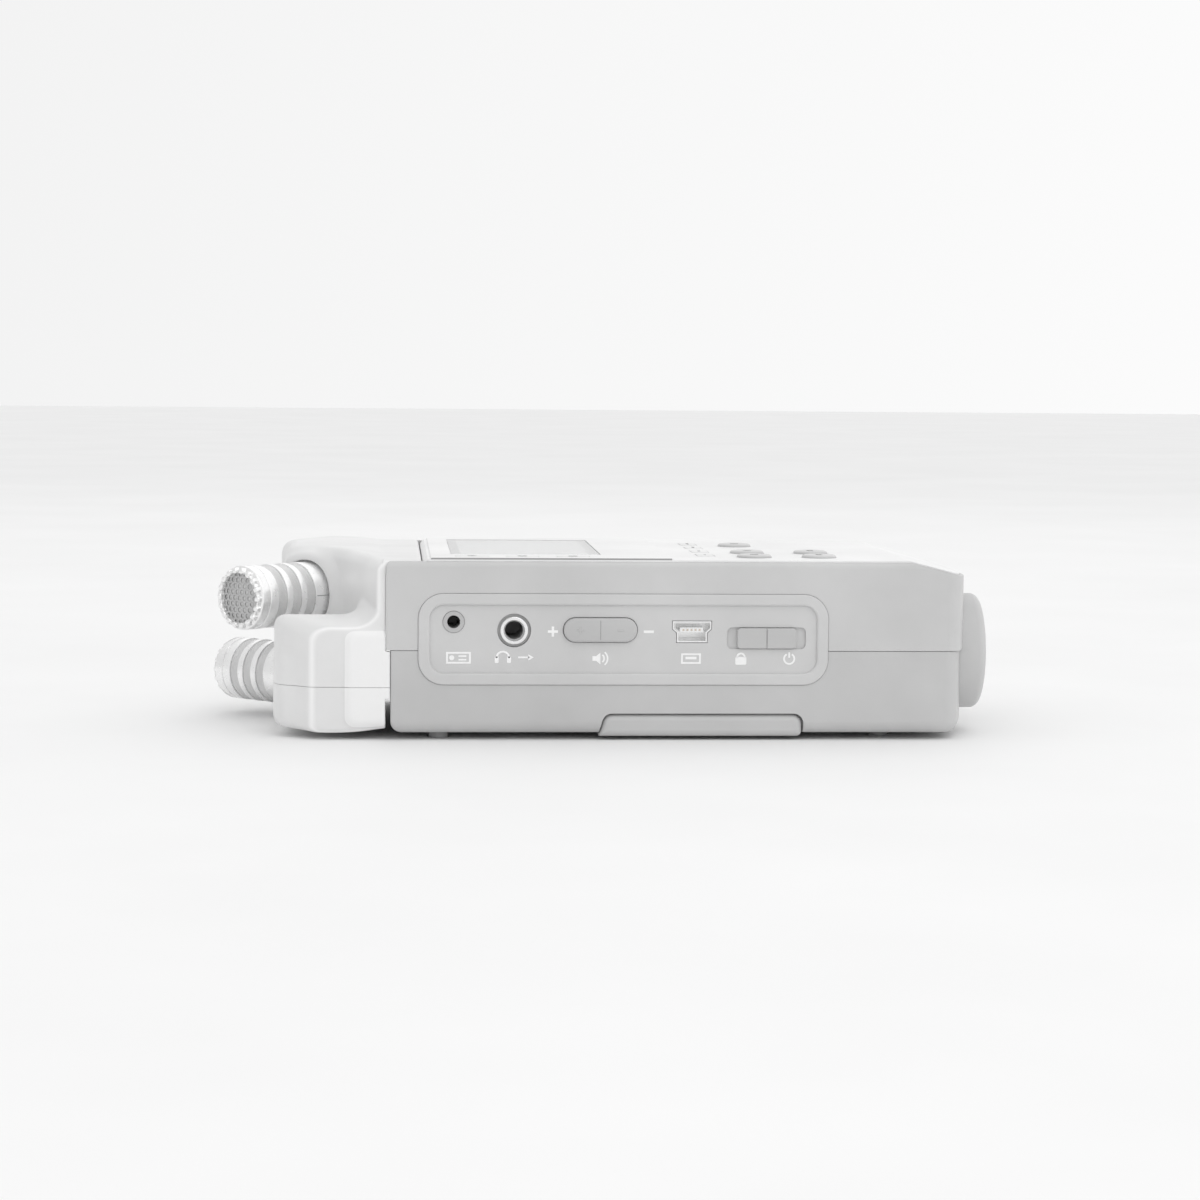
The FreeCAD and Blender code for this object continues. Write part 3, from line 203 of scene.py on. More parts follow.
ICONS = {
    "plus": [cross(2.0, 0.5)],
    "minus": [rectangle(0, 0, 2.0, 0.5)],
    "phones": [arc_band(0, -0.2, 1.0, 1.35, 0, 180), rectangle(-1.15, -0.55, 0.75, 1.2, 0.2),
               rectangle(1.15, -0.55, 0.75, 1.2, 0.2)],
    "line": [rectangle(-0.5, 0, 2.2, 0.34), triangle(0.95, 0, 1.1)],
    "remote": frame_outline(0, 0, 4.4, 2.1, 0.32) + [disc(-1.2, 0, 0.45), rectangle(0.7, 0.3, 1.4, 0.28),
                                                     rectangle(0.7, -0.35, 1.4, 0.28)],
    "speaker": [[(-1.5, -0.45), (-0.8, -0.45), (0.0, -1.1), (0.0, 1.1), (-0.8, 0.45), (-1.5, 0.45)],
                arc_band(-0.2, 0, 0.75, 1.05, -50, 50), arc_band(-0.2, 0, 1.4, 1.7, -50, 50)],
    "port": frame_outline(0, 0, 3.4, 1.8, 0.3) + [rectangle(0, 0.1, 1.9, 0.45)],
    "padlock": [rectangle(0, -0.45, 1.9, 1.35, 0.2), arc_band(0, 0.15, 0.5, 0.82, 0, 180)],
    "power": [arc_band(0, 0, 0.85, 1.2, 120, 420), rectangle(0, 0.75, 0.34, 1.1)],
    "play": [triangle(0.1, 0, 1.9)],
    "stop": [rectangle(0, 0, 1.8, 1.8)],
    "record": [disc(0, 0, 1.05)],
    "forward": [triangle(-0.7, 0, 1.3), triangle(0.5, 0, 1.3), rectangle(1.35, 0, 0.32, 1.5)],
    "rewind": [triangle(0.7, 0, 1.3, -1), triangle(-0.5, 0, 1.3, -1), rectangle(-1.35, 0, 0.32, 1.5)],
    "bars": [rectangle(-0.9, 0.55, 1.2, 0.34), rectangle(-0.9, 0, 1.2, 0.34), rectangle(-0.9, -0.55, 1.2, 0.34),
             triangle(0.9, 0, 1.2)],
    "arrow": [rectangle(-0.9, 0, 2.4, 0.7), triangle(1.2, 0, 2.2)],
    "mic": [rectangle(0, 0.35, 0.9, 1.5, 0.42), arc_band(0, 0.2, 0.75, 0.95, 180, 360),
            rectangle(0, -0.95, 0.22, 0.5)],
    "card": [[(-1.0, -1.3), (1.0, -1.3), (1.0, 1.3), (-0.4, 1.3), (-1.0, 0.7)]],
}


def left_face(x, z, size):
    return lambda a, b, h: (x + a * size, -SIDE_FACE_Y - h, z + b * size)


def right_face(x, z, size):
    return lambda a, b, h: (x - a * size, SIDE_FACE_Y + h, z + b * size)


def top_face(x, y, level, size=1.0):
    """Upright for someone who holds the microphones away from them."""
    return lambda a, b, h: (x - b * size, y + a * size, level + h)


def under_face(x, y, level, size=1.0):
    return lambda a, b, h: (x + a * size, y + b * size, level - h)


def icon(name, kind, place, material, body="case"):
    parts = [extrude_outline(outline, ICON_H, -0.02, place) for outline in ICONS[kind]]
    verts, faces = merged(parts)
    piece = add_mesh(name, verts, faces, material, body, smooth=False)
    face_outwards(piece)
    return piece


# ---- materials ----------------------------------------------------------
def grey(value):
    """Scene-linear value of an 8-bit grey."""
    c = value / 255
    return c / 12.92 if c <= 0.04045 else ((c + 0.055) / 1.055) ** 2.4


def tint(value, warm=0.0):
    base = grey(value)
    return (base * (1 + warm), base, base * (1 - warm), 1.0)


class Shader:
    """A small helper round a principled material's node tree."""

    def __init__(self, name, roughness, metallic=0.0):
        self.material = bpy.data.materials.new(name)
        self.material.use_nodes = True
        self.tree = self.material.node_tree
        self.bsdf = self.tree.nodes["Principled BSDF"]
        self.bsdf.inputs["Roughness"].default_value = roughness
        self.bsdf.inputs["Metallic"].default_value = metallic
        self.coords = self.node("ShaderNodeTexCoord").outputs["Object"]

    def node(self, kind, **settings):
        item = self.tree.nodes.new(kind)
        for key, value in settings.items():
            setattr(item, key, value)
        return item

    def link(self, out, into):
        self.tree.links.new(out, into)

    def noise(self, per_mm, detail=3.0, roughness=0.55):
        item = self.node("ShaderNodeTexNoise")
        item.inputs["Scale"].default_value = per_mm / MM
        item.inputs["Detail"].default_value = detail
        item.inputs["Roughness"].default_value = roughness
        self.link(self.coords, item.inputs["Vector"])
        return item.outputs["Fac"]

    def voronoi(self, per_mm, feature="F1"):
        item = self.node("ShaderNodeTexVoronoi", feature=feature)
        item.inputs["Scale"].default_value = per_mm / MM
        self.link(self.coords, item.inputs["Vector"])
        return item.outputs["Distance"]

    def spread(self, value, low, high, from_low=0.3, from_high=0.7):
        item = self.node("ShaderNodeMapRange")
        item.inputs["From Min"].default_value = from_low
        item.inputs["From Max"].default_value = from_high
        item.inputs["To Min"].default_value = low
        item.inputs["To Max"].default_value = high
        self.link(value, item.inputs["Value"])
        return item.outputs["Result"]

    def blend(self, factor, first, second):
        item = self.node("ShaderNodeMix", data_type="RGBA")
        item.inputs["A"].default_value = first
        item.inputs["B"].default_value = second
        self.link(factor, item.inputs["Factor"])
        return item.outputs["Result"]

    def bump(self, height, distance_mm, strength, under=None):
        item = self.node("ShaderNodeBump")
        item.inputs["Distance"].default_value = distance_mm * MM
        item.inputs["Strength"].default_value = strength
        self.link(height, item.inputs["Height"])
        if under is not None:
            self.link(under, item.inputs["Normal"])
        return item.outputs["Normal"]

    def coordinate(self, axis, sign):
        """Sign times a coordinate, or its size for sign 0."""
        split = self.node("ShaderNodeSeparateXYZ")
        self.link(self.coords, split.inputs["Vector"])
        signed = self.node("ShaderNodeMath", operation="MULTIPLY" if sign else "ABSOLUTE")
        self.link(split.outputs[axis], signed.inputs[0])
        signed.inputs[1].default_value = sign
        return signed.outputs["Value"]

    def beyond(self, axis, limit_mm, sign=1):
        """1 where the signed coordinate is over a limit."""
        test = self.node("ShaderNodeMath", operation="GREATER_THAN")
        self.link(self.coordinate(axis, sign), test.inputs[0])
        test.inputs[1].default_value = limit_mm * MM
        return test.outputs["Value"]

    def both(self, first, second):
        item = self.node("ShaderNodeMath", operation="MULTIPLY")
        self.link(first, item.inputs[0])
        self.link(second, item.inputs[1])
        return item.outputs["Value"]

    def paint_over(self, mask, colour):
        """Covers what colours the surface now wherever the mask is 1."""
        socket = self.bsdf.inputs["Base Color"]
        item = self.node("ShaderNodeMix", data_type="RGBA")
        self.link(socket.links[0].from_socket, item.inputs["A"])
        item.inputs["B"].default_value = colour
        self.link(mask, item.inputs["Factor"])
        self.link(item.outputs["Result"], socket)

    def soft_edges(self, radius_mm):
        item = self.node("ShaderNodeBevel", samples=4)
        item.inputs["Radius"].default_value = radius_mm * MM
        return item.outputs["Normal"]


def moulded(name, value, roughness, grain=0.012, edge=0.12, coat=0.0):
    """Injection-moulded plastic: fine spark grain, slow tone drift and handled sheen."""
    drift = 0.035
    grain_per_mm = 3.2
    s = Shader(name, roughness)
    low, high = tint(value * (1 - drift)), tint(min(value * (1 + drift * 0.5), 255))
    cloud = s.noise(0.035, detail=4)
    s.link(s.blend(s.spread(cloud, 0, 1), low, high), s.bsdf.inputs["Base Color"])
    handled = s.noise(0.12, detail=5)
    s.link(s.spread(handled, roughness - 0.06, roughness + 0.07), s.bsdf.inputs["Roughness"])
    fine = s.noise(grain_per_mm, detail=2)
    under = s.soft_edges(edge) if edge else None
    s.link(s.bump(fine, grain, 0.9, under), s.bsdf.inputs["Normal"])
    s.bsdf.inputs["Coat Weight"].default_value = coat
    s.bsdf.inputs["Coat Roughness"].default_value = 0.25
    s.bsdf.inputs["IOR"].default_value = 1.48
    return s


def moulded_plastic(name, value, roughness, **settings):
    return moulded(name, value, roughness, **settings).material


def panel_plastic(name, value):
    """The front panel, with painted shade: a dark band along the two long edges of the raised display bezel."""
    s = moulded(name, value, 0.38, grain=0.006, coat=0.15)
    bezel_y, bezel_x = 33.93, 14.2
    # Painted shade: a dark line painted along the bezel's long edges, where its edge lies in shade.
    rim = s.both(s.beyond("Y", bezel_y, 0), s.beyond("Z", PANEL_TOP + 0.03))
    s.paint_over(s.both(rim, s.beyond("X", -bezel_x, -1)), tint(150))
    return s.material


def housing_plastic(name, value, pad_value):
    """The microphone housing's smooth satin, with a painted highlight along its rounded side edges and painted
    light on the side pads.
    """
    s = moulded(name, value, 0.36, grain=0.004, edge=0, coat=0.2)
    out = s.coordinate("Y", 0)       # the flat sides are at 34.3 mm and the pads at 35 mm
    # Painted highlight: a paler band painted on the fillets round the flat sides.
    rising = s.spread(out, 0, 1, 33.6 * MM, 34.0 * MM)
    falling = s.spread(out, 1, 0, 34.05 * MM, 34.28 * MM)
    edge = s.both(rising, falling)
    s.paint_over(edge, tint(246))
    # Painted light: the side pads painted paler than the flat sides round them.
    s.paint_over(s.beyond("Y", 34.45, 0), tint(pad_value))
    return s.material


def turned_metal(name, value, roughness, depth=0.004, warm=0.0, per_mm=1.2, metallic=1.0):
    """Plated metal with fine turning or brushing lines and uneven polish."""
    s = Shader(name, roughness, metallic)
    lines = s.noise(per_mm, detail=6, roughness=0.7)
    smudge = s.noise(0.25, detail=4)
    s.link(s.blend(s.spread(smudge, 0, 1), tint(value * 0.98, warm), tint(min(value * 1.01, 255), warm)),
           s.bsdf.inputs["Base Color"])
    s.link(s.spread(lines, roughness * 0.8, roughness * 1.25), s.bsdf.inputs["Roughness"])
    s.link(s.bump(lines, depth, 0.6, s.soft_edges(0.06)), s.bsdf.inputs["Normal"])
    return s.material


def rubber(name, value):
    s = Shader(name, 0.75)
    pores = s.voronoi(2.4)
    cloud = s.spread(s.noise(0.2), 0, 1)
    s.link(s.blend(cloud, tint(value * 0.92), tint(value * 1.04)), s.bsdf.inputs["Base Color"])
    s.link(s.spread(pores, 0.68, 0.85, 0.0, 0.6), s.bsdf.inputs["Roughness"])
    s.link(s.bump(pores, 0.03, 0.5), s.bsdf.inputs["Normal"])
    return s.material


def circuit_board(name):
    s = Shader(name, 0.4)
    tracks = s.voronoi(0.35, feature="DISTANCE_TO_EDGE")
    mask = (0.03, 0.12, 0.07, 1)
    copper = (0.07, 0.22, 0.12, 1)
    s.link(s.blend(s.spread(tracks, 1, 0, 0.02, 0.06), mask, copper), s.bsdf.inputs["Base Color"])
    s.link(s.bump(tracks, 0.03, 0.4), s.bsdf.inputs["Normal"])
    s.link(s.spread(s.noise(0.3), 0.34, 0.5), s.bsdf.inputs["Roughness"])
    return s.material


def clear_window(name):
    s = Shader(name, 0.08)
    s.bsdf.inputs["Base Color"].default_value = (0.96, 0.97, 0.97, 1)
    s.bsdf.inputs["Transmission Weight"].default_value = 0.75
    s.bsdf.inputs["IOR"].default_value = 1.46
    haze = s.noise(0.4, detail=5)
    s.link(s.spread(haze, 0.03, 0.1), s.bsdf.inputs["Roughness"])
    s.link(s.bump(haze, 0.002, 0.3), s.bsdf.inputs["Normal"])
    return s.material


def display_film(name):
    """A reflective liquid-crystal panel: fine dot grid under a matt film."""
    s = Shader(name, 0.38)
    dots_per_mm = 0.45
    waves = []
    for direction in "XY":
        wave = s.node("ShaderNodeTexWave", wave_type="BANDS", bands_direction=direction)
        wave.inputs["Scale"].default_value = dots_per_mm / MM
        s.link(s.coords, wave.inputs["Vector"])
        waves.append(wave.outputs["Fac"])
    dots = s.spread(s.both(*waves), 0, 1, 0.1, 0.8)
    s.link(s.blend(dots, (0.88, 0.90, 0.88, 1), (0.95, 0.96, 0.95, 1)), s.bsdf.inputs["Base Color"])
    s.link(s.spread(s.noise(0.3), 0.32, 0.45), s.bsdf.inputs["Roughness"])
    return s.material


def printed_mark(name, value):
    s = Shader(name, 0.5)
    ink = s.noise(1.5, detail=4)
    s.link(s.blend(s.spread(ink, 0, 1), tint(value * 0.97), tint(value)), s.bsdf.inputs["Base Color"])
    s.link(s.spread(ink, 0.42, 0.58), s.bsdf.inputs["Roughness"])
    s.link(s.bump(ink, 0.004, 0.5), s.bsdf.inputs["Normal"])
    return s.material


LOOKS = {
    "case": moulded_plastic("case_plastic", 203, 0.5, grain=0.014),
    # Painted shade: the lower case and battery cover are the case plastic painted a shade darker, for the shade
    # on the body's lower half.
    "shaded_low_case": moulded_plastic("lower_case_painted_shade_plastic", 196, 0.5, grain=0.014),
    "side": moulded_plastic("side_plastic", 205, 0.46, grain=0.01),
    "panel": panel_plastic("panel_plastic", 240),
    "housing": housing_plastic("housing_plastic", 229, 242),
    "key": moulded_plastic("key_plastic", 205, 0.34, grain=0.004, coat=0.3),
    "small_key": moulded_plastic("small_key_plastic", 232, 0.36, grain=0.004, coat=0.2),
    "control": moulded_plastic("control_plastic", 190, 0.36, grain=0.006, coat=0.2),
    "jack": moulded_plastic("jack_plastic", 186, 0.45, grain=0.006),
    "collar": moulded_plastic("collar_plastic", 198, 0.42, grain=0.008),
    "barrel": turned_metal("mic_metal", 249, 0.3, depth=0.0006, metallic=0.8),
    # The knurled bands are darker than the barrel: partly a rougher finish, partly painted shade in the knurl's
    # hollows.
    "knurl": turned_metal("mic_knurl", 220, 0.42, depth=0.001),
    "crown": turned_metal("mic_crown", 248, 0.24, per_mm=0.5, depth=0.001, metallic=0.9),
    "mesh": turned_metal("mesh_metal", 200, 0.55, depth=0.001),
    "foam": rubber("mesh_backing", 222),
    "plated": turned_metal("plated_metal", 240, 0.22),
    "brass": turned_metal("insert_brass", 205, 0.32, warm=0.12),
    "steel": turned_metal("screw_steel", 205, 0.35),
    "spring": turned_metal("spring_steel", 225, 0.3),
    "bar": turned_metal("bar_steel", 215, 0.3),
    "capsule": turned_metal("capsule_metal", 215, 0.35, warm=0.1),
    "rubber": rubber("rubber", 165),
    "silicone": rubber("silicone", 225),
    "board": circuit_board("board"),
    "window": clear_window("window_glass"),
    "display": display_film("display_glass"),
    "segment": printed_mark("display_segment", 196),
    "mark": printed_mark("marking", 250),
    "dark_mark": printed_mark("key_mark", 150),
    "cell": turned_metal("cell_wrap", 222, 0.35),
}

NODE_MATERIALS = {
    "case": ["upper_case"],
    "shaded_low_case": ["lower_case", "battery_cover"],
    "panel": ["front_panel"],
    "side": ["left_side_panel", "right_side_panel", "sd_door"],
    "window": ["display_window"],
    "display": ["display_module"],
    "silicone": ["key_mat"],
    "control": ["volume_rocker", "level_rocker", "power_slide", "menu_wheel", "menu_key", "stamina_switch"],
    "jack": ["remote_jack", "phone_jack", "input_1_socket", "input_2_socket", "dc_jack", "speaker",
             "external_mic_jack", "wheel_encoder"],
    "collar": ["input_1_collar", "input_2_collar"],
    "plated": ["phone_jack_ring", "usb_socket", "sd_socket"],
    "bar": ["strap_bar"],
    "board": ["main_board", "jack_board"],
    "brass": ["tripod_insert"],
    "cell": ["batteries"],
    "spring": ["battery_contacts"],
    "steel": ["screws", "battery_hinge_pins"],
    "rubber": ["rubber_feet"],
    "capsule": ["upper_mic_capsule", "lower_mic_capsule"],
    "key": [n for n in nodes if n.endswith("_key") and n != "menu_key"],
}


def dress_nodes():
    for key, names in NODE_MATERIALS.items():
        for name in names:
            mesh = nodes[name].data
            mesh.materials.clear()
            mesh.materials.append(LOOKS[key])


# ---- microphone housing -------------------------------------------------
# The housing is one moulded form, so its surface is drawn from a distance
# field: planes, cylinders and blends with true fillet radii.
SEAM_Z = 10.4
SEAM_GAP = 0.08
TURN = math.radians(52.5)
REST = math.radians(45.0)
MIC_LENGTH = 20.1
# A microphone's front centre, and the side that it leans towards.
FRONTS = {"upper_mic": (np.array([-73.85, -15.75, 26.4]), -1), "lower_mic": (np.array([-76.0, 16.96, 9.2]), 1)}
HOUSING_SCREWS = ((-49.5, -28.0), (-47.3, 12.0))
MIRROR_Z = 36.7              # the high lobe is the low one turned over about half this height
LOBE_END_X = -66.55
LOBE_CREST_Z = 24.7
SLEEVE_R = 8.6               # the round sleeve a microphone comes out of
WALL_X = -54.2               # where the wall beside a lobe is 6 mm from the middle
WALL_Y = 6.0
WALL_FACING = (-0.9567, -0.2907)
SIDE_Y = 34.3                # the housing's flat sides
PAD_Y = 35.0                 # the pads stand proud of them
PAD_X = (-51.9, -38.0)
CROWN_TOP_Z = 36.14
CROWN_AT_X = -55.0
BACK_X = -43.98              # the face towards the case
SOCKET_R = 6.72
SOCKET_FLARE = 0.15          # keeps the socket clear of a turned microphone
COUNTERBORE_R = 2.6
COUNTERBORE_TOP_Z = 3.9


def mic_frame(name):
    """Front centre, capsule direction, turn axis and socket centre of a microphone."""
    front, side = FRONTS[name]
    capsule = np.array([-math.cos(REST), side * math.sin(REST), 0.0])
    axis = np.array([-math.cos(TURN), side * math.sin(TURN), 0.0])
    return front, capsule, axis, front - capsule * MIC_LENGTH


def meet(a, b, radius):
    """Intersection of two fields with a rounded edge."""
    round_part = np.sqrt(np.maximum(a + radius, 0) ** 2 + np.maximum(b + radius, 0) ** 2)
    return np.minimum(np.maximum(a, b), -radius) + round_part


def join(a, b, radius):
    """Union of two fields with a fillet."""
    return -meet(-a, -b, radius)


def sloped(a, b, facing, point):
    """A flat face through a point, in two of the coordinates, and the way that it faces."""
    return facing[0] * (a - point[0]) + facing[1] * (b - point[1])


def from_axis(x, y, z, centre, axis):
    """Length along an axis from a centre, and distance from the axis."""
    dx, dy, dz = x - centre[0], y - centre[1], z - centre[2]
    forward = dx * axis[0] + dy * axis[1] + dz * axis[2]
    square = dx * dx + dy * dy + dz * dz - forward * forward
    return forward, np.sqrt(np.maximum(square, 0))


def lobe_field(x, y, z, centre, axis):
    """The low lobe on the -Y side; the high lobe is the same shape turned over."""
    slant = sloped(x, y, (-0.7024, -0.7118), (-58.6, -SIDE_Y))
    inner = y + 23.6
    crest = z - LOBE_CREST_Z
    shoulder = sloped(y, z, (-0.4166, 0.909), (-SIDE_Y, 22.5))
    tall = meet(slant, inner, 1.2)
    tall = meet(tall, meet(crest, shoulder, 4.0), 3.2)
    forward, radial = from_axis(x, y, z, centre, axis)
    sleeve = meet(radial - SLEEVE_R, forward - 1.5, 0.9)
    sleeve = meet(sleeve, -forward - 17.0, 1.0)
    web = meet(z - 15.0, forward + 0.4, 2.0)
    web = meet(web, -(y + 29.0), 1.0)
    web = meet(web, -(x + 65.0), 2.0)
    lobe = join(tall, join(sleeve, web, 3.0), 3.0)
    return meet(lobe, LOBE_END_X - x, 3.0)


def rounded_rectangle_field(x, z, x0, x1, z0, z1, radius):
    dx = np.abs(x - (x0 + x1) / 2) - (x1 - x0) / 2 + radius
    dz = np.abs(z - (z0 + z1) / 2) - (z1 - z0) / 2 + radius
    outside = np.sqrt(np.maximum(dx, 0) ** 2 + np.maximum(dz, 0) ** 2)
    return outside + np.minimum(np.maximum(dx, dz), 0) - radius


def side_block_field(x, y, z):
    low = rounded_rectangle_field(x, z, *PAD_X, 2.6, 21.5, 2.0)
    high = rounded_rectangle_field(x, z, *PAD_X, 15.2, 34.3, 2.4)
    near = meet(meet(low, -(y + PAD_Y), 1.4), y + 32.0, 0.2)
    far = meet(meet(high, y - PAD_Y, 1.4), -(y - 32.0), 0.2)
    return np.minimum(near, far)


def underside_field(x, z):
    """The bottom rises gently towards the case and towards the lobe's end.

    The last factors turn heights into true distances from the sloping faces."""
    rise = (0.45 + 0.16 * (x + 55.5) - z) * 0.9874
    nose = (0.8 - 0.239 * (x + 59.9) - z) * 0.9726
    return meet(rise, nose, 4.0)


def housing_field(x, y, z):
    _, _, low_axis, low_centre = mic_frame("lower_mic")
    _, _, high_axis, high_centre = mic_frame("upper_mic")
    turned_centre = np.array([high_centre[0], -high_centre[1], MIRROR_Z - high_centre[2]])
    turned_axis = np.array([high_axis[0], -high_axis[1], 0.0])
    near = lobe_field(x, y, z, low_centre, low_axis)
    far = lobe_field(x, -y, MIRROR_Z - z, turned_centre, turned_axis)
    near_wall = sloped(x, y, WALL_FACING, (WALL_X, -WALL_Y))
    far_wall = sloped(x, -y, WALL_FACING, (WALL_X, -WALL_Y))
    body = join(meet(near_wall, far_wall, 2.0), near, 4.6)
    body = join(body, far, 4.6)
    crown_z = CROWN_TOP_Z - 0.0066 * (x - CROWN_AT_X) ** 2
    body = meet(body, z - crown_z, 2.6)
    body = meet(body, underside_field(x, z), 1.8)
    body = meet(body, np.abs(y) - SIDE_Y, 1.1)
    body = join(body, side_block_field(x, y, z), 0.7)
    body = meet(body, x - BACK_X, 0.2)
    # A flat tongue on top goes over the case, and a tab on the near side past its edge.
    tongue_y, tongue_bottom, tongue_top, tongue_end = 34.05, 32.6, 35.45, -36.85
    tongue = meet(np.abs(y) - tongue_y, z - tongue_top, 0.7)
    tongue = meet(tongue, x - tongue_end, 1.1)
    tongue = np.maximum(np.maximum(tongue, tongue_bottom - z), -(x + 44.5))
    body = join(body, tongue, 0.1)
    tab_middle_z, tab_half = 12.87, 4.62
    tab = np.maximum(np.abs(z - tab_middle_z) - tab_half, np.maximum(-(y + 34.9), y + 33.4))
    tab = meet(np.maximum(tab, -(x + 45.0)), x + 43.13, 0.15)
    body = np.minimum(body, tab)
    for screw_x, screw_y in HOUSING_SCREWS:
        hole = np.maximum(np.hypot(x - screw_x, y - screw_y) - COUNTERBORE_R, z - COUNTERBORE_TOP_Z)
        body = meet(body, -hole, 0.15)
    for name in FRONTS:
        _, _, axis, centre = mic_frame(name)
        forward, radial = from_axis(x, y, z, centre, axis)
        radius = SOCKET_R + SOCKET_FLARE * np.maximum(forward, 0)
        hole = np.maximum(radial - radius, -(forward + 0.15))
        body = meet(body, -hole, 0.2)
    return body


def surface_net(values, low, step):
    """Quads round the zero level of a field sampled on a grid."""
    inside = values < 0
    cells = np.zeros(tuple(n - 1 for n in values.shape), dtype=np.int8)
    for i in (0, 1):
        for j in (0, 1):
            for k in (0, 1):
                cells += inside[i:inside.shape[0] - 1 + i, j:inside.shape[1] - 1 + j, k:inside.shape[2] - 1 + k]
    where = np.argwhere((cells > 0) & (cells < 8))
    ids = -np.ones(cells.shape, dtype=np.int64)
    ids[tuple(where.T)] = np.arange(len(where))
    total = np.zeros((len(where), 3))
    count = np.zeros(len(where))
    for axis in range(3):
        others = [a for a in range(3) if a != axis]
        for a in (0, 1):
            for b in (0, 1):
                start = where.copy()
                start[:, others[0]] += a
                start[:, others[1]] += b
                end = start.copy()
                end[:, axis] += 1
                first, second = values[tuple(start.T)], values[tuple(end.T)]
                crossing = (first < 0) != (second < 0)
                part = np.where(crossing, first / np.where(crossing, first - second, 1.0), 0.0)
                point = start.astype(float)
                point[:, axis] += part
                total += np.where(crossing[:, None], point, 0.0)
                count += crossing
    verts = total / count[:, None] * step + low
    faces = []
    for axis in range(3):
        others = [a for a in range(3) if a != axis]
        lower = [slice(None)] * 3
        upper = [slice(None)] * 3
        lower[axis], upper[axis] = slice(0, -1), slice(1, None)
        change = inside[tuple(lower)] != inside[tuple(upper)]
        at = np.argwhere(change)
        good = (at[:, others[0]] > 0) & (at[:, others[1]] > 0)
        for other in others:
            good &= at[:, other] < values.shape[other] - 1
        at = at[good]
        corners = []
        for a, b in ((1, 1), (0, 1), (0, 0), (1, 0)):
            cell = at.copy()
            cell[:, others[0]] -= a
            cell[:, others[1]] -= b
            corners.append(ids[tuple(cell.T)])
        quads = np.stack(corners, axis=1)
        outward = inside[tuple(at.T)] if axis != 1 else ~inside[tuple(at.T)]
        quads[~outward] = quads[~outward][:, ::-1]
        faces.append(quads)
    return verts, np.concatenate(faces)


def onto_surface(verts, field, rounds=3):
    """Moves points onto the field's zero level."""
    nudge = 0.02
    for _ in range(rounds):
        x, y, z = verts.T
        value = field(x, y, z)
        slope = np.stack([field(x + nudge, y, z) - field(x - nudge, y, z),
                          field(x, y + nudge, z) - field(x, y - nudge, z),
                          field(x, y, z + nudge) - field(x, y, z - nudge)], axis=1) / (2 * nudge)
        size = np.maximum((slope ** 2).sum(axis=1), 0.2)
        move = -slope * (value / size)[:, None]
        length = np.linalg.norm(move, axis=1)
        verts = verts + move * np.minimum(1, 0.25 / np.maximum(length, 1e-9))[:, None]
    return verts


def housing_surface(step):
    low = np.array([-67.0, -36.2, -0.3])
    high = np.array([-36.2, 36.2, 37.3])
    axes = [np.arange(low[i], high[i] + step, step) for i in range(3)]
    x, y, z = np.meshgrid(*axes, indexing="ij")
    verts, faces = surface_net(housing_field(x, y, z), low, step)
    return onto_surface(verts, housing_field), faces


def split_half(name, verts, faces, level, keep_above, node):
    """One half of the housing, cut level and closed."""
    piece = add_mesh(name, verts, faces, LOOKS["housing"], "case", slot="housing_plastic")
    with editing(piece) as mesh:
        cut_and_close(mesh, (0, 0, level * MM), (0, 0, 1), clear_outer=not keep_above, clear_inner=keep_above)
    smooth_all(piece, 50)
    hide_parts(node)


def microphone_housing():
    verts, faces = housing_surface(0.36)
    split_half("housing_upper_shell", verts, faces, SEAM_Z + SEAM_GAP / 2, True, "mic_housing_upper")
    split_half("housing_lower_shell", verts, faces, SEAM_Z - SEAM_GAP / 2, False, "mic_housing_lower")


# ---- microphones --------------------------------------------------------
# How far the ends of each knurled band are behind the front.
BANDS = ((5.7, 8.05), (9.6, 11.95), (13.5, 15.85))
TEETH = 18
MIC_R = 6.5
GROOVE_R = 6.15


def saw(value):
    """A triangle wave between 0 and 1."""
    part = value - math.floor(value)
    return 1 - abs(2 * part - 1)


def mic_place(name):
    """A placing function from a microphone's front centre: across, up, and back along its body."""
    front, capsule, _, _ = mic_frame(name)
    ahead = Vector(capsule)
    up = Vector((0, 0, 1))
    across = ahead.cross(up).normalized()
    start = Vector(front)
    return lambda a, b, c: tuple(start + across * a + up * b - ahead * c)


def barrel(name):
    """The turned tube: front lip, grooves for the bands, plain base, cut at the socket plane."""
    _, _, axis, centre = mic_frame(name)
    profile = [(3.44, 5.3), (3.42, 6.3), (3.5, 6.44), (3.62, MIC_R)]
    for near, far in BANDS:
        profile += [(near - 0.14, MIC_R), (near - 0.05, 6.45), (near, GROOVE_R),
                    (far, GROOVE_R), (far + 0.05, 6.45), (far + 0.14, MIC_R)]
    profile += [(MIC_LENGTH + 3.5, MIC_R), (MIC_LENGTH + 3.5, 0.0)]
    verts, faces = lathe(profile, 128, mic_place(name))
    piece = add_mesh(f"{name}_tube", verts, faces, LOOKS["barrel"], name, slot="mic_metal")
    point = (Vector(centre) + Vector((SHIFT, 0, 0))) * MM
    with editing(piece) as mesh:
        bmesh.ops.remove_doubles(mesh, verts=mesh.verts[:], dist=1e-7)
        cut_and_close(mesh, point, -Vector(axis), clear_outer=True)
        bmesh.ops.recalc_face_normals(mesh, faces=mesh.faces[:])
    smooth_all(piece, 40)
    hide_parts(f"{name}_barrel")


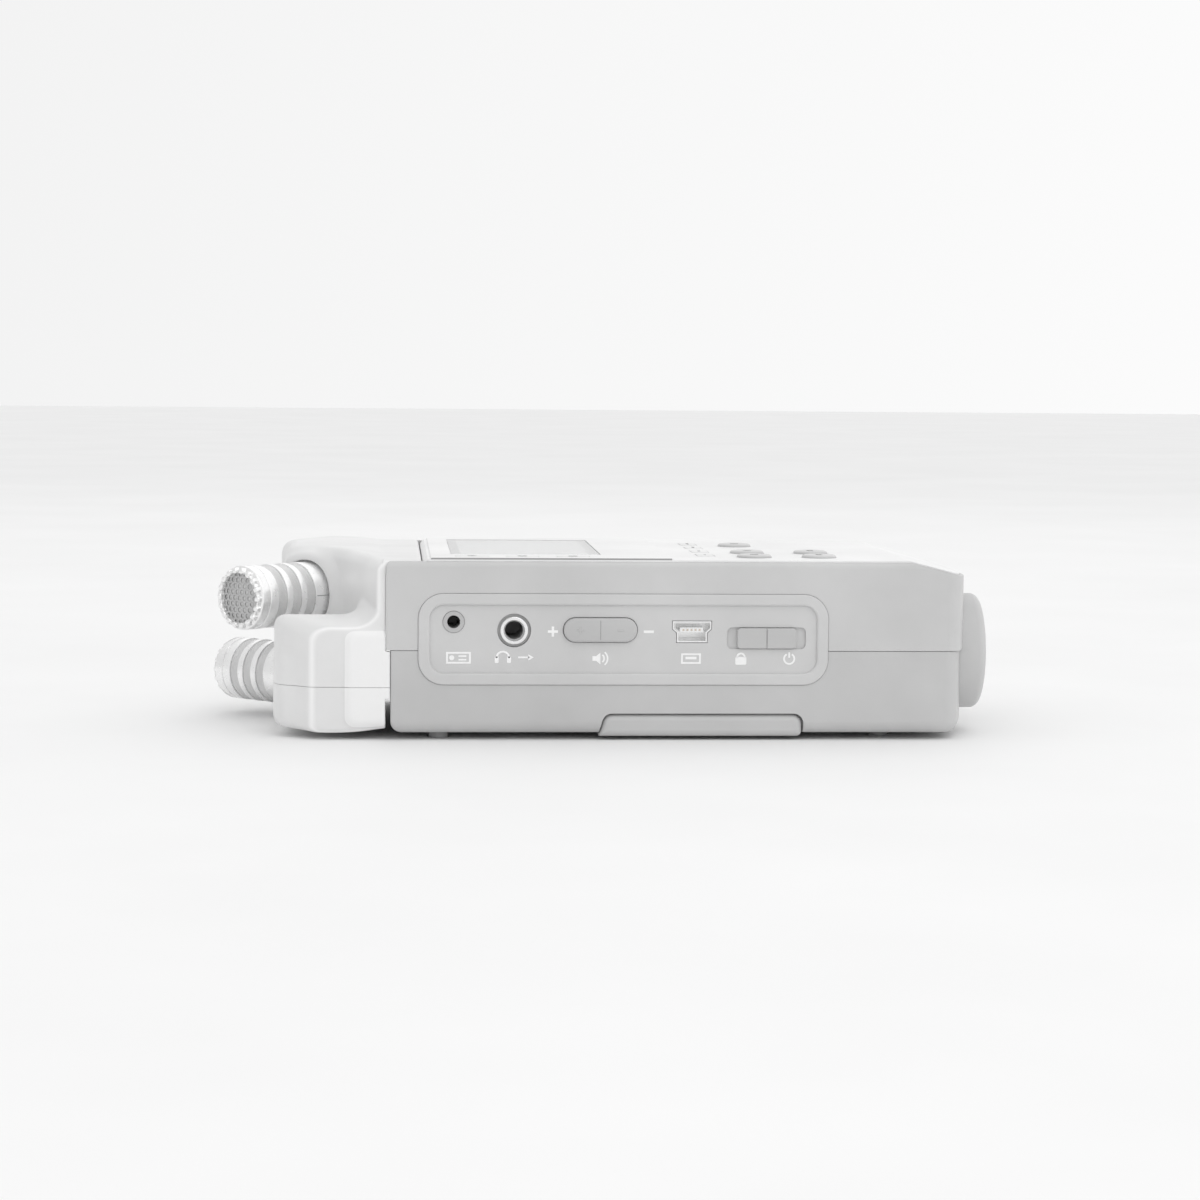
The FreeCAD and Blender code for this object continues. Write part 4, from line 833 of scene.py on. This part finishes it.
def knurled_band(name, number, near, far):
    """A ring of small pyramids between two plain edges."""
    pitch = 0.5
    around = 80
    height = 0.16
    plain_edge = 0.15
    per = 6
    rows = int((far - near) / pitch * per)
    start = near + 0.12
    span = far - near - 0.24

    def wave(angle, length, radius):
        if radius < 6.25:
            return 0.0, 0.0
        turn = angle * around / (2 * math.pi)
        climb = (length - start) / pitch
        edge = min(1.0, (length - start) / plain_edge, (start + span - length) / plain_edge)
        return 0.0, height * min(saw(turn + climb), saw(turn - climb)) * max(edge, 0.0)

    profile = [(near + 0.02, 6.12), (near + 0.02, 6.24)]
    profile += [(start + span * i / rows, 6.27) for i in range(rows + 1)]
    profile += [(far - 0.02, 6.24), (far - 0.02, 6.12)]
    verts, faces = lathe(profile, around * per, mic_place(name), wave)
    faces = faces[:-2]           # its two ends stay open, inside the tube's groove
    piece = add_mesh(f"{name}_band_{number}", verts, faces, LOOKS["knurl"], name, smooth=False,
                     slot="mic_metal")
    face_outwards(piece)


def crown(name):
    """The front ring: rounded teeth round its rim and a scalloped mouth."""

    def wave(angle, length, radius):
        valley = 0.5 - 0.5 * math.tanh(2.4 * math.cos(angle * TEETH))
        if length > 1.15:
            return 0.0, 0.0
        if radius > 5.5:
            return 0.3 * valley, -0.5 * valley
        if radius > 4.6:
            return 0.12 * valley, 0.24 * valley
        return 0.0, 0.0

    profile = [(3.36, 5.25), (3.36, 6.34), (3.27, 6.46), (1.42, 6.48), (1.28, 6.4), (1.16, 6.2), (0.8, 6.2),
               (0.55, 6.19), (0.4, 6.14), (0.24, 6.04), (0.1, 5.86), (0.02, 5.66), (0.0, 5.4), (0.08, 5.12),
               (0.3, 4.96), (0.65, 4.9), (1.2, 4.9), (1.25, 5.25)]
    verts, faces = lathe(profile, TEETH * (20), mic_place(name), wave, closed=True)
    piece = add_mesh(f"{name}_toothed_ring", verts, faces, LOOKS["crown"], name, slot="mic_crown")
    face_outwards(piece)
    sharpen(piece, 42)
    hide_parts(f"{name}_crown")


def grille(name):
    """A slightly domed sheet with a honeycomb of round holes, and the cloth behind it."""
    place = mic_place(name)
    pitch = 1.4
    hole = 0.44
    reach_max = 5.2
    centre_max = 5.6
    middle_depth, dome = 0.72, 0.4
    rows = 6
    sides = 24
    verts, faces = [], []
    for row in range(-rows, rows + 1):
        for column in range(-rows, rows + 1):
            cx = (column + 0.5 * (row % 2)) * pitch
            cy = row * pitch * math.sqrt(3) / 2
            if math.hypot(cx, cy) > centre_max:
                continue
            base = len(verts)
            for i in range(sides):
                degrees = 360 // sides * i
                angle = math.radians(degrees)
                outer = pitch / 2 / math.cos(math.radians((degrees + 30) % 60 - 30))
                for radius in (outer, hole):
                    px, py = cx + radius * math.cos(angle), cy + radius * math.sin(angle)
                    reach = math.hypot(px, py)
                    if reach > reach_max:
                        px, py = px * reach_max / reach, py * reach_max / reach
                        reach = reach_max
                    verts.append(place(px, py, middle_depth + dome * (reach / reach_max) ** 2))
            for i in range(sides):
                n = (i + 1) % sides
                faces.append((base + 2 * i, base + 2 * n, base + 2 * n + 1, base + 2 * i + 1))
    piece = add_mesh(f"{name}_grille", verts, faces, LOOKS["mesh"], name, slot="mesh_metal")
    with editing(piece) as mesh:
        bmesh.ops.remove_doubles(mesh, verts=mesh.verts[:], dist=0.02 * MM)
        bmesh.ops.recalc_face_normals(mesh, faces=mesh.faces[:])
    thick = piece.modifiers.new("sheet", "SOLIDIFY")
    thick.thickness = 0.18 * MM
    thick.offset = 0
    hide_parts(f"{name}_mesh")
    profile = [(0.86, 0.0), (0.95, 2.5), (1.25, 5.1), (1.9, 5.15), (1.9, 0.0)]
    cloth = add_mesh(f"{name}_cloth", *lathe(profile, 48, place), LOOKS["foam"], name)
    face_outwards(cloth)


def index_mark(name):
    """The fine line on the plain base that shows the angle."""
    place = mic_place(name)
    middle = math.pi if name == "upper_mic" else 0.0
    half = 0.011
    sunk, proud = MIC_R - 0.05, MIC_R + 0.015
    verts = []
    for length in (16.1, 19.4):
        for offset, radius in ((-half, sunk), (-half, proud), (half, proud), (half, sunk)):
            angle = middle + offset
            verts.append(place(radius * math.cos(angle), radius * math.sin(angle), length))
    faces = [(0, 1, 2, 3), (4, 5, 6, 7), (0, 1, 5, 4), (1, 2, 6, 5), (2, 3, 7, 6), (3, 0, 4, 7)]
    piece = add_mesh(f"{name}_index_line", verts, faces, LOOKS["dark_mark"], name, smooth=False)
    face_outwards(piece)


def microphones():
    for name in FRONTS:
        barrel(name)
        index_mark(name)
        for number, (near, far) in enumerate(BANDS, start=1):
            knurled_band(name, number, near, far)
        crown(name)
        grille(name)


# ---- keys and marks -----------------------------------------------------
def round_key(name, kind):
    """A domed key with a soft shoulder and a shallow finger dish."""
    low, high = node_box(name)
    x, y = (low[:2] + high[:2]) / 2
    radius = (high[0] - low[0]) / 2
    top = high[2]
    shoulder = 0.5
    rise = 0.42
    profile = [(low[2], 0.0), (low[2], radius), (top - 0.62, radius)]
    for i in range(9):
        angle = math.radians(90 * i / 8)
        profile.append((top - shoulder + rise * math.sin(angle),
                        radius - shoulder + shoulder * math.cos(angle)))
    profile += [(top - 0.03, radius * 0.72), (top - 0.10, radius * 0.5),
                (top - 0.16, radius * 0.25), (top - 0.18, 0.0)]
    place = lambda a, b, c: (x + a, y + b, c)
    piece = add_mesh(f"{name}_cap", *lathe(profile, 72, place), LOOKS["key"], name, slot="key_plastic")
    face_outwards(piece)
    sharpen(piece, 50)
    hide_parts(name)
    icon(f"{name}_mark", kind, top_face(x, y, top - 0.13, 0.85), LOOKS["dark_mark"], name)


def lofted(outlines, place):
    """A solid through outlines of equal length, given as (height, points)."""
    n = len(outlines[0][1])
    verts = [place(a, b, height) for height, points in outlines for a, b in points]
    faces = [tuple(range(n - 1, -1, -1)), tuple(range(len(verts) - n, len(verts)))]
    for j in range(len(outlines) - 1):
        for i in range(n):
            k = (i + 1) % n
            faces.append((j * n + i, j * n + k, (j + 1) * n + k, (j + 1) * n + i))
    return verts, faces


def rocker_cap(name, side):
    """A rocker with a soft rim, its two ends marked by raised signs and a line between."""
    low, high = node_box(name)
    x, z = (low[0] + high[0]) / 2, (low[2] + high[2]) / 2
    width, height = high[0] - low[0], high[2] - low[2]
    top = 0.9
    place = lambda a, b, h: (x + a, side * (SIDE_FACE_Y + h), z + b)
    outlines = []
    for level, inset in ((-2.9, 0.0), (0.45, 0.0), (0.68, 0.06), (0.82, 0.2), (top, 0.5)):
        size = height - 2 * inset
        outlines.append((level, rectangle(0, 0, width - 2 * inset, size, size / 2 - 0.01, steps=12)))
    piece = add_mesh(f"{name}_cap", *lofted(outlines, place), LOOKS["control"], name, slot="control_plastic")
    face_outwards(piece)
    sharpen(piece, 50)
    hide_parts(name)
    for kind, at in (("plus", -4.0), ("minus", 4.0)):
        sign = lambda a, b, h, at=at: (x + at + 0.7 * a, side * (SIDE_FACE_Y + top + h), z + 0.7 * b)
        icon(f"{name}_{kind}", kind, sign, LOOKS["control"], name)
    split = extrude_outline(rectangle(0, 0, 0.12, height - 0.9), 0.03, -0.02,
                            lambda a, b, h: (x + a, side * (SIDE_FACE_Y + top + h), z + b))
    line = add_mesh(f"{name}_split", *split, LOOKS["dark_mark"], name, smooth=False)
    face_outwards(line)


def usb_contacts():
    """Five gilt contacts on the tongue inside the data socket."""
    low, high = node_box("usb_socket")
    x, z = (low[0] + high[0]) / 2, high[2] - 1.8
    parts = []
    for i in range(5):
        place = lambda a, b, h, i=i: (x + (i - 2) * 0.8 + a, low[1] + 0.82 + h, z + b)
        parts.append(extrude_outline(rectangle(0, 0, 0.4, 0.4), 4.0, 0.0, place))
    piece = add_mesh("usb_contacts", *merged(parts), LOOKS["brass"], smooth=False)
    face_outwards(piece)


def side_marks():
    icon("remote_mark", "remote", left_face(-29.7, 16.3, 1.1), LOOKS["mark"])
    icon("phones_mark", "phones", left_face(-21.0, 16.5, 1.05), LOOKS["mark"])
    icon("line_mark", "line", left_face(-16.4, 16.4, 1.0), LOOKS["mark"])
    icon("volume_up_mark", "plus", left_face(-11.2, 21.5, 1.0), LOOKS["mark"])
    icon("volume_down_mark", "minus", left_face(7.7, 21.5, 1.0), LOOKS["mark"])
    icon("volume_mark", "speaker", left_face(-1.8, 16.2, 1.05), LOOKS["mark"])
    icon("usb_port_mark", "port", left_face(16.1, 16.2, 1.15), LOOKS["mark"])
    icon("hold_mark", "padlock", left_face(26.0, 16.3, 1.15), LOOKS["mark"])
    icon("power_mark", "power", left_face(35.6, 16.2, 1.0), LOOKS["mark"])
    icon("level_mark", "mic", right_face(-24.0, 16.3, 1.0), LOOKS["mark"])
    icon("menu_mark", "bars", right_face(9.2, 16.2, 1.0), LOOKS["mark"])
    icon("card_mark", "card", right_face(28.3, 15.6, 0.9), LOOKS["mark"])
    rocker_cap("volume_rocker", -1)
    rocker_cap("level_rocker", 1)
    usb_contacts()


def small_key(name, marks):
    """A low rounded key whose mark is pressed proud of its top."""
    low, high = node_box(name)
    x, y = (low[:2] + high[:2]) / 2
    width, depth = high[0] - low[0], high[1] - low[1]
    top = high[2]
    outlines = []
    for level, inset in ((low[2], 0.0), (top - 0.2, 0.0), (top - 0.1, 0.03), (top - 0.06, 0.1),
                         (top - 0.05, 0.25)):
        outlines.append((level, rectangle(x, y, width - 2 * inset, depth - 2 * inset, 1.2 - inset, steps=6)))
    piece = add_mesh(f"{name}_cap", *lofted(outlines, lambda a, b, h: (a, b, h)), LOOKS["small_key"], name,
                     slot="key_plastic")
    face_outwards(piece)
    sharpen(piece, 50)
    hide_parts(name)
    place = top_face(x, y, top - 0.1)
    parts = [extrude_outline(outline, 0.09, 0.0, place) for outline in marks]
    mark = add_mesh(f"{name}_mark", *merged(parts), LOOKS["dark_mark"], name, smooth=False)
    face_outwards(mark)


def front_marks():
    for kind in ("rewind", "play", "forward", "stop", "record"):
        round_key(f"{kind}_key", kind)
    for number in (1, 2, 3, 4):
        dots = [disc((i - (number - 1) / 2) * 0.9, 0, 0.28, 14) for i in range(number)]
        small_key(f"track_{number}_key", dots)
    small_key("mic_input_key", [[(a * 0.8, b * 0.8) for a, b in part] for part in ICONS["mic"]])
    for number in (1, 2):
        ring = [arc_band(0, 0, 0.7, 0.95, 15, 345)]
        ring += [disc((i - (number - 1) / 2) * 0.6, 0, 0.2, 12) for i in range(number)]
        small_key(f"input_{number}_key", ring)


def display_segments():
    """What the panel shows: level bars, a time line and a frame."""
    low, high = node_box("display_module")
    middle = (low[1] + high[1]) / 2
    level = high[2]
    middle_x = -16.0
    place = lambda a, b, h: (middle_x - b, middle + a, level + h)
    outlines = frame_outline(0, 0, 42.0, 22.0, 0.3)
    cell_size, cell_pitch, row_pitch = 1.3, 1.8, 2.1
    for row in range(4):
        for cell in range(5 + (row * 7) % 9):
            outlines.append(rectangle(-17.5 + cell_pitch * cell, -1.6 - row_pitch * row, cell_size, cell_size))
    digit_pitch, pair_gap = 5.4, 0.8
    for digit in range(6):
        at = -15.0 + digit_pitch * digit + pair_gap * (digit // 2)
        outlines += frame_outline(at, 5.2, 3.0, 5.0, 0.6)
    parts = [extrude_outline(outline, 0.02, 0.0, place) for outline in outlines]
    piece = add_mesh("display_segments", *merged(parts), LOOKS["segment"], smooth=False)
    face_outwards(piece)


def cover_marks():
    """Grip ribs and an arrow moulded on the battery cover."""
    low, _ = node_box("battery_cover")
    first_rib_x, rib_pitch = 22.5, 1.3
    parts = []
    for i in range(7):
        place = under_face(first_rib_x + rib_pitch * i, 0, low[2])
        parts.append(extrude_outline(rectangle(0, 0, 0.5, 14.0, 0.24), 0.16, -0.02, place))
    place = under_face(16.0, 0, low[2], -1.2)
    parts += [extrude_outline(outline, 0.12, -0.02, place) for outline in ICONS["arrow"]]
    piece = add_mesh("cover_ribs", *merged(parts), LOOKS["shaded_low_case"], "battery_cover", smooth=False)
    face_outwards(piece)


# ---- light and camera ---------------------------------------------------
def studio():
    """Pale floor, white surroundings a little darker towards -X, and three large soft lamps."""
    world = bpy.data.worlds.new("studio")
    bpy.context.scene.world = world
    world.use_nodes = True
    tree = world.node_tree
    split = tree.nodes.new("ShaderNodeSeparateXYZ")
    tree.links.new(tree.nodes.new("ShaderNodeTexCoord").outputs["Generated"], split.inputs["Vector"])
    ramp = tree.nodes.new("ShaderNodeMapRange")
    ramp.inputs["From Min"].default_value = -1.0
    ramp.inputs["To Min"].default_value = 0.74
    ramp.inputs["To Max"].default_value = 1.1
    tree.links.new(split.outputs["X"], ramp.inputs["Value"])
    tree.links.new(ramp.outputs["Result"], tree.nodes["Background"].inputs["Strength"])
    tree.nodes["Background"].inputs["Color"].default_value = (1.0, 1.0, 1.0, 1)
    half_width, front_y, back_y = 3000, -2000, 4000
    verts = [(-half_width, front_y, 0), (half_width, front_y, 0),
             (half_width, back_y, 0), (-half_width, back_y, 0)]
    mesh = bpy.data.meshes.new("floor")
    mesh.from_pydata([(x * MM, y * MM, z * MM) for x, y, z in verts], [], [(0, 1, 2, 3)])
    floor = bpy.data.objects.new("floor", mesh)
    bpy.context.scene.collection.objects.link(floor)
    s = Shader("floor_paper", 0.7)
    s.link(s.blend(s.spread(s.noise(0.01), 0, 1), (0.89, 0.89, 0.89, 1), (0.92, 0.92, 0.92, 1)),
           s.bsdf.inputs["Base Color"])
    mesh.materials.append(s.material)
    # Each lamp's name, place and size in metres, and power in watts.
    lamps = (("key", (0.2, -0.45, 0.8), 0.6, 0.9), ("fill", (-0.6, -0.6, 0.35), 0.6, 0.1),
             ("rim", (0.1, 0.6, 0.7), 0.8, 0.5))
    for name, place, size, power in lamps:
        lamp = bpy.data.lights.new(name, "AREA")
        lamp.size = size
        lamp.energy = power
        holder = bpy.data.objects.new(name, lamp)
        holder.location = place
        aim = Vector((0, 0, 0.02)) - Vector(place)
        holder.rotation_euler = aim.to_track_quat("-Z", "Y").to_euler()
        bpy.context.scene.collection.objects.link(holder)


def camera():
    """A long lens, low and nearly square to the jack side."""
    azimuth, elevation, roll = (math.radians(degrees) for degrees in (-4.067, 4.516, 0.484))
    place = Vector((SHIFT - 43.97, -625.4, 74.51)) * MM
    level = math.cos(elevation)
    back = Vector((math.sin(azimuth) * level, -math.cos(azimuth) * level, math.sin(elevation)))
    right = (-back).cross(Vector((0, 0, 1))).normalized()
    up = right.cross(-back)
    across = right * math.cos(roll) + up * math.sin(roll)
    rise = -right * math.sin(roll) + up * math.cos(roll)
    lens = bpy.data.cameras.new("camera")
    lens.sensor_width = 36
    lens.lens = 90.71
    lens.clip_start = 0.02
    holder = bpy.data.objects.new("camera", lens)
    turn = Matrix((across, rise, back)).transposed().to_4x4()
    holder.matrix_world = Matrix.Translation(place) @ turn
    bpy.context.scene.collection.objects.link(holder)
    bpy.context.scene.camera = holder


camera()
studio()
bpy.context.scene.view_settings.view_transform = "Standard"
dress_nodes()
microphone_housing()
microphones()
front_marks()
side_marks()
display_segments()
cover_marks()
